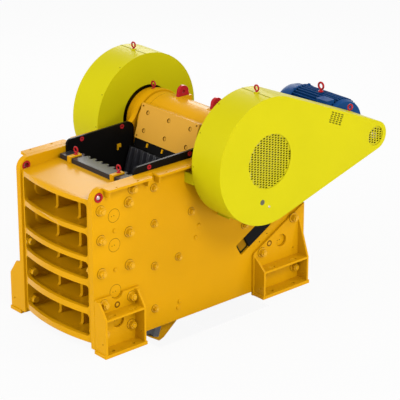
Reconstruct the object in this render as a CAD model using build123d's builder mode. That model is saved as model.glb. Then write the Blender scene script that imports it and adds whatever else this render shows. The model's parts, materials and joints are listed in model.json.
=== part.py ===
from build123d import *
from math import atan2, cos, degrees, hypot, pi, radians, sin, sqrt
import os

# Single-toggle jaw crusher. X runs across it (+X is the belt side), Y along it (-Y is the fixed jaw),
# Z is up, and the origin is the middle of the four outer foundation bolts, in the plane of the foot soles.
# All sizes in millimetres.
os.makedirs("parts", exist_ok=True)

# Side plates
chamber_w = 1124.0
cheek_t = 28.0
side_t = 70.0
plate_front = -1459.0
plate_rear = 1581.0
plate_low = 35.0
plate_high = 1855.0
plate_corner_r = 130.0
boss_r = 345.0
boss_front_fillet = 280.0
boss_rear_fillet = 60.0
rear_shoulder = 20.0
boss_rear_flat = 113.0
bush_y = -1370.0
bush_z = 1757.0
bush_r = 53.0
bush_bore_r = 33.0
bush_proud = 6.0
inner = chamber_w / 2 + cheek_t
outer = inner + side_t

# Shaft, bearings and the eccentric
shaft_y = 492.0
shaft_z = 1862.0
throw = 15.0
journal_r = 130.0
eccentric_r = 150.0
run_gap = 0.05
shaft_end_gap = 39.0
saddle_r = 300.0
housing_r = 322.0
housing_flange_r = 338.0
housing_flange_t = 40.0
housing_guard_gap = 14.0
housing_edge = 12.0
saddle_gap = 0.3

# Swing jaw: a line from the tips' top, leaning back, with places given along it and behind it
lean = 18.2
tip_y = -18.0
tip_z = 1677.0
swing_len = 1890.0
tooth_depth = 44.0
tooth_pitch = 105.0
tooth_tip = 34.0
tooth_root = 30.0
swing_body = 84.0
swing_side_gap = 14.0
barrel_r = 340.0
barrel_side_gap = 79.0
barrel_bore_r = 235.0
bearing_len = 190.0
neck_r = 337.0
neck_side_gap = 14.0
pitman_side_gap = 30.0
pitman_front_wall = 77.0
pitman_rib_t = 50.0
pitman_cell = (400.0, 1120.0)
guard_face = 25.0
guard_t = 45.0
guard_low = 114.0
guard_high = 510.0
barrel_half = chamber_w / 2 - barrel_side_gap
guard_plate_w = 2 * barrel_half
guard_hole_x = 358.0
guard_hole_up = (104.0, 310.0)
guard_hole_r = 26.0
guard_hole_depth = 12.0

# Fixed jaw
fixed_tip_y = -754.0
fixed_body = 151.0
fixed_low = 40.0
fixed_high = 1804.0
fixed_side_gap = 9.0

# Front casting
front_face = -1432.0
front_bulge = 80.0
front_low = 84.0
front_top_front = 1723.0
front_top_back = 1749.0
front_wall = 70.0
front_end_wall = 41.0
row_tops = (1672.0, 1334.0, 1014.0, 743.0, 413.0)
row_lows = (1391.0, 1067.0, 812.0, 483.0, 154.0)
floor_drop = 28.0
lip_t = 45.0
cell_corner = 42.0
web_x = 195.0
web_t = 40.0
web_front = -1265.0
web_foot_r = 35.0
clamp_x = 368.0
clamp_w = 58.0
clamp_t = 20.0
clamp_reach = 141.0
seat_gap = 0.3

# Foundation bolts and feet
bolt_half_x = 789.0
bolt_outer_y = 1320.0
bolt_front_in = -1040.0
bolt_rear_in = 990.0
bolt_hole_r = 22.0
foot_out = 848.0
foot_base_t = 40.0
foot_lip = 6.0
foot_plate_t = 30.0
gusset_t = 25.0
gusset_inset = 12.0
gusset_top_w = 72.0
gusset_hole_r = 9.0
shelf_t = 25.0
shelf_inset = 15.0
shelf_slot = (90.0, 40.0)
front_foot_y = (-1468.0, -896.0)
rear_foot_y = (800.0, 1520.0)
front_shelf_z = 445.0
rear_shelf_z = 335.0
front_gusset_z = 613.0
rear_gusset_z = (470.0, 785.0)
front_back_y = (-1452.0, -842.0)
front_back_z = 625.0
back_corner_r = 50.0
rear_back_y = (792.0, 1475.0, 1575.0)
rear_back_z = (512.0, 881.0, 935.0)
plug_r = 75.0
plug_edge = 7.0
plug_y = -1172.0
plug_z = 643.0
small_plug_z = 487.0
low_plug = (-1160.0, 306.0)
small_plug_r = 25.0
rear_boss = (1218.0, 565.0)
rear_eye = (1045.0, 575.0)
rear_pin_hole = (1409.0, 425.0)

# Toggle line, slot and beam
toggle_angle = 29.5
slot_y = 592.5
slot_z = 603.5
slot_w = 156.0
slot_len = 530.0
slot_corner_r = 22.0
beam_start = 142.0
beam_len = 360.0
beam_gap = 4.0
ledge_start = 200.0
toggle_t = 70.0
toggle_gap = 28.0
toggle_side_gap = 60.0
spacer_inset = 25.0
seat_along = -560.0
seat_t = 60.0
seat_half = 110.0

# Flywheels, guards and drive
drum_r = 718.0
drum_in = 804.0
drum_out = 1254.0
sheet = 8.0
drum_hole_r = 346.0
wheel_r = 660.0
wheel_gap = 55.0
wheel_w = drum_out - drum_in - 2 * wheel_gap
rim_t = 130.0
wheel_web_t = 60.0
hub_r = 220.0
wheel_hole_r = 80.0
wheel_holes = 6
shaft_end = drum_out - shaft_end_gap
housing_end = drum_in - housing_guard_gap
motor_y = 2117.0
motor_z = 1767.0
nose_r = 170.0
screen_r = 306.0
nose_screen_r = 113.0
sheave_r = 130.0
groove_edge = 34.0
belt_count = 8
belt_side_gap = 6.0
belt_t = 12.0
belt_gap = 0.3
groove_pitch = (wheel_w - 2 * groove_edge) / belt_count
motor_r = 300.0
motor_fan_end = -150.0
motor_body_start = 60.0
motor_body_end = 700.0
motor_core_r = 262.0
fin_t = 9.0
fin_count = 44
end_bell_r = 288.0
end_bell_t = 60.0
motor_shaft_r = 45.0
motor_foot_h = 15.0
motor_foot_w = 270.0
motor_foot_len = 110.0
terminal_box = (180.0, 120.0, 125.0)
terminal_box_y = 1950.0
terminal_box_z = 1955.0
base_t = 40.0
bracket_low = 960.0
bracket_side_t = 60.0
bracket_reach = 280.0
eye_r = 40.0
eye_bore_r = 21.0
eye_t = 16.0
eye_neck_r = 13.0
base_front = 1517.0
base_rear = 2417.0
base_top = motor_z - motor_r - motor_foot_h
plate_rear_high = base_top - base_t

SIDES = ((1, "right"), (-1, "left"))


def keep(part, name):
    """Label a finished piece and write its file."""
    part.part.label = name
    export_step(part.part, f"parts/{name}.step")


def jaw_point(along, behind):
    """A (y, z) place given along the swing jaw's tip line and behind it."""
    s, c = sin(radians(lean)), cos(radians(lean))
    return (tip_y - s * along + c * behind, tip_z - c * along - s * behind)


def side_plane(x):
    """A plane across the machine at x, with Y and Z as its own axes."""
    return Plane(origin=(x, 0, 0), x_dir=(0, 1, 0), z_dir=(1, 0, 0))


def toggle_point(along, across):
    """A (y, z) place along the toggle line from the slot's lower end, and across it."""
    s, c = sin(radians(toggle_angle)), cos(radians(toggle_angle))
    return (slot_y + c * along - s * across, slot_z + s * along + c * across)


def tooth_line(half_w, back, tip):
    """Points of a toothed jaw section: flat back at y = back, tooth tips at y = tip, across +-half_w."""
    root = tip - tooth_depth if tip > back else tip + tooth_depth
    count = int(2 * half_w // tooth_pitch)
    flank = (tooth_pitch - tooth_tip - tooth_root) / 2
    start = -count * tooth_pitch / 2
    points = [(-half_w, back), (-half_w, root)]
    for i in range(count):
        x = start + i * tooth_pitch
        points += [(x + tooth_root / 2, root), (x + tooth_root / 2 + flank, tip),
                   (x + tooth_root / 2 + flank + tooth_tip, tip), (x + tooth_pitch - tooth_root / 2, root)]
    return points + [(half_w, root), (half_w, back)]


# Side plates with the bearing saddle and the toggle slot
for side, word in SIDES:
    with BuildPart() as side_plate:
        with BuildSketch(side_plane(side * inner)) as outline:
            with BuildLine():
                Polyline((plate_front, plate_low), (plate_rear, plate_low), (plate_rear, plate_rear_high),
                         (base_front - rear_shoulder, plate_rear_high),
                         (shaft_y + boss_r + boss_rear_flat, plate_high),
                         (plate_front, plate_high), (plate_front, plate_low))
            make_face()
            with Locations((shaft_y, shaft_z)):
                Circle(boss_r)
            half_chord = sqrt(boss_r ** 2 - (plate_high - shaft_z) ** 2)
            for place, r in (((plate_front, plate_high, 0), plate_corner_r),
                             ((shaft_y - half_chord, plate_high, 0), boss_front_fillet),
                             ((shaft_y + half_chord, plate_high, 0), boss_rear_fillet)):
                fillet(outline.vertices().sort_by_distance(place)[0], r)
        extrude(amount=side * side_t)
        with BuildSketch(side_plane(side * inner)):
            with Locations((shaft_y, shaft_z)):
                Circle(saddle_r + saddle_gap)
            with Locations((bush_y, bush_z)):
                Circle(bush_r)
        extrude(amount=side * side_t, mode=Mode.SUBTRACT)
        with BuildSketch(side_plane(side * inner)) as slot:
            with BuildLine():
                Polyline(toggle_point(0, -slot_w / 2), toggle_point(slot_len, -slot_w / 2),
                         toggle_point(slot_len, slot_w / 2), toggle_point(0, slot_w / 2), close=True)
            make_face()
            fillet(slot.vertices(), slot_corner_r)
        extrude(amount=side * side_t, mode=Mode.SUBTRACT)
    keep(side_plate, f"side_plate_{word}")

# Lifting bushes through the front top corners of the side plates
with BuildPart() as bushes:
    for side, word in SIDES:
        with BuildSketch(side_plane(side * inner)):
            with Locations((bush_y, bush_z)):
                Circle(bush_r - saddle_gap)
                Circle(bush_bore_r, mode=Mode.SUBTRACT)
        extrude(amount=side * (side_t + bush_proud))
keep(bushes, "lifting_bushes")

# Front casting: five rows of cells, bowed ribs and two webs
fixed_back_y = fixed_tip_y - tooth_depth - fixed_body
wall_front = fixed_back_y - front_wall
with BuildPart() as front_frame:
    with BuildSketch(Plane.XY.offset(front_low)):
        with BuildLine():
            Polyline((inner, front_face), (inner, fixed_back_y), (-inner, fixed_back_y), (-inner, front_face))
            ThreePointArc((-inner, front_face), (0, front_face - front_bulge), (inner, front_face))
        make_face()
    extrude(amount=front_top_back - front_low)
    with BuildSketch(side_plane(-inner)):
        with BuildLine():
            Polyline((front_face - front_bulge, front_top_front), (fixed_back_y, front_top_back),
                     (fixed_back_y, front_top_back + 50), (front_face - front_bulge, front_top_back + 50),
                     close=True)
        make_face()
    extrude(amount=2 * inner, mode=Mode.SUBTRACT)
    for high, low in zip(row_tops, row_lows):
        floor = low - floor_drop
        with BuildSketch(Plane.XZ.offset(-front_face + front_bulge)):
            with Locations((0, (high + low) / 2)):
                RectangleRounded(2 * (inner - front_end_wall), high - low, cell_corner)
        extrude(amount=-(wall_front - front_face + front_bulge), mode=Mode.SUBTRACT)
        with BuildPart(mode=Mode.PRIVATE) as behind_lip:
            with BuildSketch(Plane.XY.offset(floor)):
                with BuildLine():
                    lip_back = front_face + lip_t
                    Polyline((inner, lip_back), (inner, wall_front), (-inner, wall_front), (-inner, lip_back))
                    ThreePointArc((-inner, lip_back), (0, lip_back - front_bulge), (inner, lip_back))
                make_face()
            extrude(amount=high - floor)
            with BuildSketch(Plane.XZ.offset(-front_face + front_bulge)):
                with Locations((0, (high + floor) / 2)):
                    RectangleRounded(2 * (inner - front_end_wall), high - floor, cell_corner)
            extrude(amount=-(wall_front - front_face + front_bulge), mode=Mode.INTERSECT)
        add(behind_lip.part, mode=Mode.SUBTRACT)
    for high, low in zip(row_tops, row_lows):
        low -= floor_drop
        for x in (web_x, -web_x):
            with BuildSketch(side_plane(x - web_t / 2)):
                with BuildLine():
                    Line((web_front, high + 5), (web_front, low + web_foot_r))
                    ThreePointArc((web_front, low + web_foot_r),
                                  (web_front - web_foot_r * (1 - sqrt(0.5)), low + web_foot_r * (1 - sqrt(0.5))),
                                  (web_front - web_foot_r, low))
                    Polyline((web_front - web_foot_r, low), (web_front - web_foot_r, low - 5),
                             (wall_front + 5, low - 5), (wall_front + 5, high + 5), (web_front, high + 5))
                make_face()
            extrude(amount=web_t)
keep(front_frame, "front_frame")

# Fixed jaw die
fixed_half = chamber_w / 2 - fixed_side_gap
with BuildPart() as fixed_die:
    with BuildSketch(Plane.XY.offset(fixed_low)):
        with BuildLine():
            Polyline(*tooth_line(fixed_half, fixed_back_y, fixed_tip_y), close=True)
        make_face()
    extrude(amount=fixed_high - fixed_low)
keep(fixed_die, "fixed_jaw_die")

# Straps over the top of the fixed jaw, turned down behind it
with BuildPart() as clamps:
    for x in (clamp_x, -clamp_x):
        with BuildSketch(side_plane(x - clamp_w / 2)):
            with BuildLine():
                back = fixed_back_y - seat_gap
                Polyline((back, fixed_high), (back + clamp_reach, fixed_high),
                         (back + clamp_reach, fixed_high + clamp_t), (back - clamp_t, fixed_high + clamp_t),
                         (back - clamp_t, front_top_back + seat_gap), (back, front_top_back + seat_gap),
                         close=True)
            make_face()
        extrude(amount=clamp_w)
keep(clamps, "fixed_jaw_clamps")

# Cheek plates with their plugs
cheek_front = -840.0
cheek_front_z = 1927.0
cheek_rear_z = 1945.0
cheek_rear = 105.0
cheek_rear_low = 96.0
cheek_mid_z = 1660.0
cheek_low = 260.0
cheek_toe = 250.0
cheek_front_r = 60.0
cheek_rear_r = 95.0
cheek_plug_r = 27.0
cheek_plug_bore_r = 13.0
cheek_plug_proud = 4.0
cheek_plug_places = ((-634.0, 1893.0), (-69.0, 1905.0))
for side, word in SIDES:
    with BuildPart() as cheek:
        with BuildSketch(side_plane(side * chamber_w / 2)) as outline:
            with BuildLine():
                Polyline((cheek_front, cheek_low), (tip_y - cheek_toe, cheek_low), (cheek_rear_low, cheek_mid_z),
                         (cheek_rear, cheek_rear_z), (cheek_front, cheek_front_z), close=True)
            make_face()
            fillet(outline.vertices().sort_by_distance((cheek_front, cheek_front_z, 0))[0], cheek_front_r)
            fillet(outline.vertices().sort_by_distance((cheek_rear, cheek_rear_z, 0))[0], cheek_rear_r)
            with Locations(*cheek_plug_places):
                Circle(cheek_plug_r, mode=Mode.SUBTRACT)
        extrude(amount=side * cheek_t)
    keep(cheek, f"cheek_plate_{word}")
with BuildPart() as cheek_plugs:
    for side, word in SIDES:
        with BuildSketch(side_plane(side * (chamber_w / 2 - cheek_plug_proud))):
            with Locations(*cheek_plug_places):
                Circle(cheek_plug_r - seat_gap)
                Circle(cheek_plug_bore_r, mode=Mode.SUBTRACT)
        extrude(amount=side * (cheek_t + 2 * cheek_plug_proud))
keep(cheek_plugs, "cheek_plugs")

# Feet: back plate on the side plate, two gussets, a shelf and the base with its bolt holes
for side, word in SIDES:
    for end, span, shelf_z, holes, gussets in (
            ("front", front_foot_y, front_shelf_z, (-bolt_outer_y, bolt_front_in),
             (front_gusset_z, front_gusset_z)),
            ("rear", rear_foot_y, rear_shelf_z, (bolt_rear_in, bolt_outer_y), rear_gusset_z)):
        with BuildPart() as foot:
            with BuildSketch(side_plane(side * outer)) as back:
                with BuildLine():
                    if end == "front":
                        Polyline((front_back_y[0], 0), (front_back_y[1], 0), (front_back_y[1], front_back_z),
                                 (front_back_y[0], front_back_z), close=True)
                    else:
                        Polyline((rear_back_y[0], 0), (rear_back_y[2], 0), (rear_back_y[2], rear_back_z[2]),
                                 (rear_back_y[1], rear_back_z[1]), (rear_back_y[0], rear_back_z[0]), close=True)
                make_face()
                if end == "front":
                    fillet(back.vertices().sort_by_distance((front_back_y[1], front_back_z, 0))[0], back_corner_r)
                    with Locations((plug_y, plug_z)):
                        Circle(plug_r + plug_edge, mode=Mode.SUBTRACT)
                    with Locations(low_plug):
                        Circle(plug_r, mode=Mode.SUBTRACT)
                    with Locations((plug_y, small_plug_z)):
                        Circle(small_plug_r, mode=Mode.SUBTRACT)
                else:
                    fillet(back.vertices().sort_by_distance((rear_back_y[0], rear_back_z[0], 0))[0], back_corner_r)
                    with Locations(rear_boss):
                        Circle(plug_r, mode=Mode.SUBTRACT)
                    with Locations(rear_eye):
                        Circle(small_plug_r, mode=Mode.SUBTRACT)
            extrude(amount=side * foot_plate_t)
            with BuildSketch(Plane.XY):
                with Locations((side * (outer + foot_out + foot_lip) / 2, (span[0] + span[1]) / 2)):
                    Rectangle(foot_out + foot_lip - outer, span[1] - span[0])
            extrude(amount=foot_base_t)
            with BuildSketch(Plane.XY.offset(shelf_z - shelf_t)):
                with Locations((side * (outer + foot_out) / 2, (span[0] + span[1]) / 2)):
                    Rectangle(foot_out - outer, span[1] - span[0] - 2 * shelf_inset)
                with Locations(*[(side * bolt_half_x, y) for y in holes]):
                    SlotOverall(*shelf_slot, rotation=90, mode=Mode.SUBTRACT)
            extrude(amount=shelf_t)
            for gusset_y, top in zip((span[0] + gusset_inset, span[1] - gusset_inset - gusset_t), gussets):
                shoulder = (outer + gusset_top_w, top) if end == "front" else (outer + foot_plate_t, top)
                with BuildSketch(Plane(origin=(0, gusset_y, 0), x_dir=(1, 0, 0), z_dir=(0, -1, 0))):
                    with BuildLine():
                        Polyline((side * outer, foot_base_t), (side * foot_out, foot_base_t),
                                 (side * foot_out, shelf_z), (side * shoulder[0], shoulder[1]),
                                 (side * outer, top), close=True)
                    make_face()
                    with Locations((side * bolt_half_x, shelf_z / 3)):
                        Circle(gusset_hole_r, mode=Mode.SUBTRACT)
                extrude(amount=-gusset_t)
            with BuildSketch(Plane.XY.offset(-1)):
                with Locations(*[(side * bolt_half_x, y) for y in holes]):
                    Circle(bolt_hole_r)
            extrude(amount=foot_base_t + 2, mode=Mode.SUBTRACT)
            if end == "rear":
                with BuildSketch(side_plane(side * outer)):
                    with Locations(rear_pin_hole):
                        Circle(gusset_hole_r)
                extrude(amount=side * foot_plate_t, mode=Mode.SUBTRACT)
        keep(foot, f"foot_{end}_{word}")

# Hopper flanges along the tops of the side plates
flange_out = 112.0
flange_t = 27.0
flange_corner_r = 24.0
flange_rib_h = 80.0
flange_rib_t = 20.0
flange_rib_step = 20.0
flange_hole_r = 14.0
flange_hole_out = 84.0
flange_spans = (((-1320.0, -728.0), (-1200.0, -915.0)), ((-646.0, -70.0), (-525.0, -235.0)))
for side, word in SIDES:
    with BuildPart() as flange:
        for (start, stop), holes in flange_spans:
            with BuildSketch(Plane.XY.offset(plate_high - flange_t)) as top_face:
                with Locations((side * (outer + flange_out / 2), (start + stop) / 2)):
                    Rectangle(flange_out, stop - start)
                for corner_y in (start, stop):
                    corner = (side * (outer + flange_out), corner_y, 0)
                    fillet(top_face.vertices().sort_by_distance(corner)[0], flange_corner_r)
                with Locations(*[(side * (outer + flange_hole_out), y) for y in holes]):
                    Circle(flange_hole_r, mode=Mode.SUBTRACT)
            extrude(amount=flange_t)
            for rib_y in (start + flange_corner_r, stop - flange_corner_r - flange_rib_t):
                top = plate_high - flange_t
                with BuildSketch(Plane(origin=(0, rib_y, 0), x_dir=(1, 0, 0), z_dir=(0, -1, 0))):
                    with BuildLine():
                        Polyline((side * outer, top), (side * (outer + flange_out - flange_rib_step), top),
                                 (side * (outer + flange_out - 2 * flange_rib_step), top - flange_rib_h),
                                 (side * outer, top - flange_rib_h), close=True)
                    make_face()
                extrude(amount=-flange_rib_t)
    keep(flange, f"hopper_flange_{word}")

# Bearing housings, turned to fit the bores of the side plates
for side, word in SIDES:
    with BuildPart() as housing:
        with BuildSketch(Plane(origin=(0, shaft_y, shaft_z), x_dir=(1, 0, 0), z_dir=(0, -1, 0))):
            with BuildLine():
                profile = [(inner, journal_r + run_gap), (inner, saddle_r), (outer, saddle_r),
                           (outer, housing_flange_r), (outer + housing_flange_t, housing_flange_r),
                           (outer + housing_flange_t, housing_r), (housing_end - housing_edge, housing_r),
                           (housing_end, housing_r - housing_edge), (housing_end, journal_r + run_gap)]
                Polyline(*[(side * x, r) for x, r in profile], close=True)
            make_face()
        revolve(axis=Axis((0, shaft_y, shaft_z), (1, 0, 0)))
    keep(housing, f"bearing_housing_{word}")

# Eccentric shaft
eccentric_z = shaft_z - throw
neck_half = inner - neck_side_gap
with BuildPart() as eccentric_shaft:
    with BuildSketch(side_plane(-shaft_end)):
        with Locations((shaft_y, shaft_z)):
            Circle(journal_r)
    extrude(amount=2 * shaft_end)
    with BuildSketch(side_plane(-neck_half)):
        with Locations((shaft_y, eccentric_z)):
            Circle(eccentric_r)
    extrude(amount=2 * neck_half)
keep(eccentric_shaft, "eccentric_shaft")

# Flywheels: rim, web with round holes, and hub
wheel_mid = (drum_in + drum_out) / 2
for side, word in SIDES:
    with BuildPart() as wheel:
        with BuildSketch(side_plane(side * (wheel_mid - wheel_w / 2))):
            with Locations((shaft_y, shaft_z)):
                Circle(wheel_r)
        extrude(amount=side * wheel_w)
        for start in (wheel_mid - wheel_w / 2, wheel_mid + wheel_web_t / 2):
            with BuildSketch(side_plane(side * start)):
                with Locations((shaft_y, shaft_z)):
                    Circle(wheel_r - rim_t)
                    Circle(hub_r, mode=Mode.SUBTRACT)
            extrude(amount=side * (wheel_w - wheel_web_t) / 2, mode=Mode.SUBTRACT)
        with BuildSketch(side_plane(side * (wheel_mid - wheel_w / 2))):
            with Locations((shaft_y, shaft_z)):
                Circle(journal_r + run_gap)
                with PolarLocations((hub_r + wheel_r - rim_t) / 2, wheel_holes):
                    Circle(wheel_hole_r)
        extrude(amount=side * wheel_w, mode=Mode.SUBTRACT)
    keep(wheel, f"flywheel_{word}")

# Flywheel guard on the left: a drum of sheet with a hole round the bearing housing
with BuildPart() as flywheel_guard:
    with BuildSketch(side_plane(-drum_out)):
        with Locations((shaft_y, shaft_z)):
            Circle(drum_r)
    extrude(amount=drum_out - drum_in)
    with BuildSketch(side_plane(-drum_out + sheet)):
        with Locations((shaft_y, shaft_z)):
            Circle(drum_r - sheet)
    extrude(amount=drum_out - drum_in - 2 * sheet, mode=Mode.SUBTRACT)
    with BuildSketch(side_plane(-drum_in - sheet)):
        with Locations((shaft_y, shaft_z)):
            Circle(drum_hole_r)
    extrude(amount=sheet, mode=Mode.SUBTRACT)
    with BuildSketch(side_plane(-drum_out)):
        with Locations((shaft_y, shaft_z)):
            Circle(screen_r)
    extrude(amount=sheet, mode=Mode.SUBTRACT)
keep(flywheel_guard, "flywheel_guard")


def teardrop(big, small):
    """Closed outline round the flywheel circle and the motor sheave circle, as (y, z) lines."""
    reach = hypot(motor_y - shaft_y, motor_z - shaft_z)
    slope = atan2(motor_z - shaft_z, motor_y - shaft_y)
    open_angle = pi / 2 - atan2(big - small, sqrt(reach ** 2 - (big - small) ** 2))

    def on(cy, cz, r, angle):
        return (cy + r * cos(angle), cz + r * sin(angle))

    top = slope + open_angle
    low = slope - open_angle
    Line(on(shaft_y, shaft_z, big, top), on(motor_y, motor_z, small, top))
    ThreePointArc(on(motor_y, motor_z, small, top), on(motor_y, motor_z, small, slope),
                  on(motor_y, motor_z, small, low))
    Line(on(motor_y, motor_z, small, low), on(shaft_y, shaft_z, big, low))
    ThreePointArc(on(shaft_y, shaft_z, big, low), on(shaft_y, shaft_z, big, slope + pi),
                  on(shaft_y, shaft_z, big, top))


# Belt guard on the right: a teardrop box of sheet
with BuildPart() as belt_guard:
    with BuildSketch(side_plane(drum_in)):
        with BuildLine():
            teardrop(drum_r, nose_r)
        make_face()
    extrude(amount=drum_out - drum_in)
    with BuildSketch(side_plane(drum_in + sheet)):
        with BuildLine():
            teardrop(drum_r - sheet, nose_r - sheet)
        make_face()
    extrude(amount=drum_out - drum_in - 2 * sheet, mode=Mode.SUBTRACT)
    with BuildSketch(side_plane(drum_in)):
        with Locations((shaft_y, shaft_z)):
            Circle(drum_hole_r)
        with Locations((motor_y, motor_z)):
            Circle(motor_shaft_r + 25)
    extrude(amount=sheet, mode=Mode.SUBTRACT)
    with BuildSketch(side_plane(drum_out - sheet)):
        with Locations((shaft_y, shaft_z)):
            Circle(screen_r)
        with Locations((motor_y, motor_z)):
            Circle(nose_screen_r)
    extrude(amount=sheet, mode=Mode.SUBTRACT)
keep(belt_guard, "belt_guard")

# Screens: sheets behind the round windows of the guards
screen_t = 5.0
with BuildPart() as belt_guard_screens:
    with BuildSketch(side_plane(drum_out - sheet - screen_t)):
        with Locations((shaft_y, shaft_z)):
            Circle(screen_r + 25)
        with Locations((motor_y, motor_z)):
            Circle(nose_screen_r + 18)
    extrude(amount=screen_t)
keep(belt_guard_screens, "belt_guard_screens")
with BuildPart() as flywheel_guard_screen:
    with BuildSketch(side_plane(-drum_out + sheet)):
        with Locations((shaft_y, shaft_z)):
            Circle(screen_r + 25)
    extrude(amount=screen_t)
keep(flywheel_guard_screen, "flywheel_guard_screen")

# Guard brackets: a channel under each drum's front and an angle under its lowest part
bracket_w = 60.0
bracket_t = 10.0
bracket_h = 120.0
bracket_place = (-173.0, 1694.0)
bracket_past = 46.0
angle_w = 96.0
angle_turn = 257.0
angle_h = 45.0
for side, word in SIDES:
    with BuildPart() as brackets:
        with BuildSketch(side_plane(side * outer)):
            with Locations((bracket_place[0], bracket_place[1])):
                Rectangle(bracket_w, bracket_h)
            with Locations((bracket_place[0] + bracket_t, bracket_place[1])):
                Rectangle(bracket_w, bracket_h - 2 * bracket_t, mode=Mode.SUBTRACT)
        extrude(amount=side * (drum_in - outer))
        with BuildSketch(side_plane(side * outer)):
            with Locations(Location((shaft_y, shaft_z), angle_turn - 90)):
                with Locations((0, drum_r + seat_gap + bracket_t / 2)):
                    Rectangle(angle_w, bracket_t)
                with Locations((angle_w / 2 - bracket_t / 2, drum_r + seat_gap + angle_h / 2)):
                    Rectangle(bracket_t, angle_h)
        extrude(amount=side * (drum_in - outer + bracket_past))
    keep(brackets, f"guard_brackets_{word}")

# Pitman: one casting with the bearing barrel at its top, open cells behind the jaw and the toe under the die
lug_x = 285.0
lug_t = 45.0
lug_w = 165.0
lug_h = 122.0
lug_top_r = 72.0
lug_bore_r = 18.0
lug_shift = 95.0
lug_pad = (92.0, 200.0, 70.0)
lug_pad_over = 6.0
lug_low = eccentric_z + barrel_r + lug_pad_over
die_back = tooth_depth + swing_body
pad_back = guard_face + guard_t
with BuildPart() as pitman:
    pitman_half = chamber_w / 2 - pitman_side_gap
    pitman_cell_w = (2 * pitman_half - 4 * pitman_rib_t) / 3
    with BuildSketch(side_plane(-pitman_half)):
        with BuildLine():
            Polyline(jaw_point(-guard_high, pad_back), jaw_point(-guard_low, pad_back),
                     jaw_point(-guard_low, die_back), jaw_point(swing_len, die_back),
                     jaw_point(swing_len, 10), jaw_point(swing_len + 10, 10), jaw_point(swing_len + 49, 163),
                     jaw_point(swing_len + 9, 219), toggle_point(seat_along - seat_t, -seat_half),
                     toggle_point(seat_along - seat_t, seat_half),
                     jaw_point(700, 380), jaw_point(250, 420), jaw_point(-150, 700),
                     jaw_point(-500, 560), close=True)
        make_face()
    extrude(amount=2 * pitman_half)
    for x in (-1, 0, 1):
        with BuildSketch(side_plane((x - 0.5) * pitman_cell_w + x * pitman_rib_t)):
            with BuildLine():
                deep = die_back + pitman_front_wall
                Polyline(jaw_point(pitman_cell[0], deep), jaw_point(pitman_cell[1], deep),
                         jaw_point(pitman_cell[1], 2 * deep + barrel_r), jaw_point(pitman_cell[0], 2 * deep + barrel_r),
                         close=True)
            make_face()
        extrude(amount=pitman_cell_w, mode=Mode.SUBTRACT)
    for half, r in ((neck_half, neck_r), (barrel_half, barrel_r)):
        with BuildSketch(side_plane(-half)):
            with Locations((shaft_y, eccentric_z)):
                Circle(r)
        extrude(amount=2 * half)
    with Locations(*[(x, shaft_y + lug_shift, lug_low - lug_pad[2] / 2) for x in (lug_x, -lug_x)]):
        Box(*lug_pad)
    with BuildSketch(side_plane(-neck_half)):
        with Locations((shaft_y, eccentric_z)):
            Circle(eccentric_r + run_gap)
    extrude(amount=2 * neck_half, mode=Mode.SUBTRACT)
    with BuildSketch(side_plane(-neck_half + bearing_len)):
        with Locations((shaft_y, eccentric_z)):
            Circle(barrel_bore_r)
    extrude(amount=2 * (neck_half - bearing_len), mode=Mode.SUBTRACT)
keep(pitman, "pitman")

# Swing jaw die, ribbed along its length
tip_plane = Plane(origin=(0, tip_y, tip_z), x_dir=(1, 0, 0),
                  z_dir=(0, -sin(radians(lean)), -cos(radians(lean))))
with BuildPart() as swing_die:
    with BuildSketch(tip_plane):
        with BuildLine():
            Polyline(*tooth_line(chamber_w / 2 - swing_side_gap, -die_back, 0), close=True)
        make_face()
    extrude(amount=swing_len)
keep(swing_die, "swing_jaw_die")

# Wedge key above the swing jaw die
key_clamp_x = 255.0
key_clamp_w = 22.0
key_clamp_high = 96.0
key_clamp_low = 50.0
key_clamp_t = 12.0
key_front = 42.0
with BuildPart() as die_key:
    with BuildSketch(side_plane(-guard_plate_w / 2)):
        with BuildLine():
            Polyline(jaw_point(-guard_low + 2, key_front + seat_gap), jaw_point(0, key_front + seat_gap),
                     jaw_point(0, die_back), jaw_point(-guard_low + 2, die_back), close=True)
        make_face()
    extrude(amount=guard_plate_w)
keep(die_key, "swing_die_key")

# Guard plate on the pitman's head
with BuildPart() as head_plate:
    with BuildSketch(side_plane(-guard_plate_w / 2)):
        with BuildLine():
            Polyline(jaw_point(-guard_low, guard_face), jaw_point(-guard_low, pad_back),
                     jaw_point(-guard_high, pad_back), jaw_point(-guard_high, guard_face), close=True)
        make_face()
    extrude(amount=guard_plate_w)
    with BuildSketch(Plane(origin=(0, *jaw_point(0, guard_face)), x_dir=(1, 0, 0),
                           z_dir=(0, cos(radians(lean)), -sin(radians(lean))))):
        with Locations(*[(x, -guard_low - up) for x in (-guard_hole_x, 0, guard_hole_x) for up in guard_hole_up]):
            Circle(guard_hole_r)
    extrude(amount=guard_hole_depth, mode=Mode.SUBTRACT)
keep(head_plate, "pitman_guard_plate")

# Clamps on the wedge key
with BuildPart() as key_clamps:
    for x in (-key_clamp_x, 0, key_clamp_x):
        with BuildSketch(side_plane(x - key_clamp_w / 2)):
            with BuildLine():
                Polyline(jaw_point(-key_clamp_high, key_front), jaw_point(-key_clamp_low, key_front - 2 * seat_gap),
                         jaw_point(-key_clamp_low, key_front - key_clamp_t),
                         jaw_point(-key_clamp_high, key_front - key_clamp_t), close=True)
            make_face()
        extrude(amount=key_clamp_w)
keep(key_clamps, "swing_die_clamps")

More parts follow.
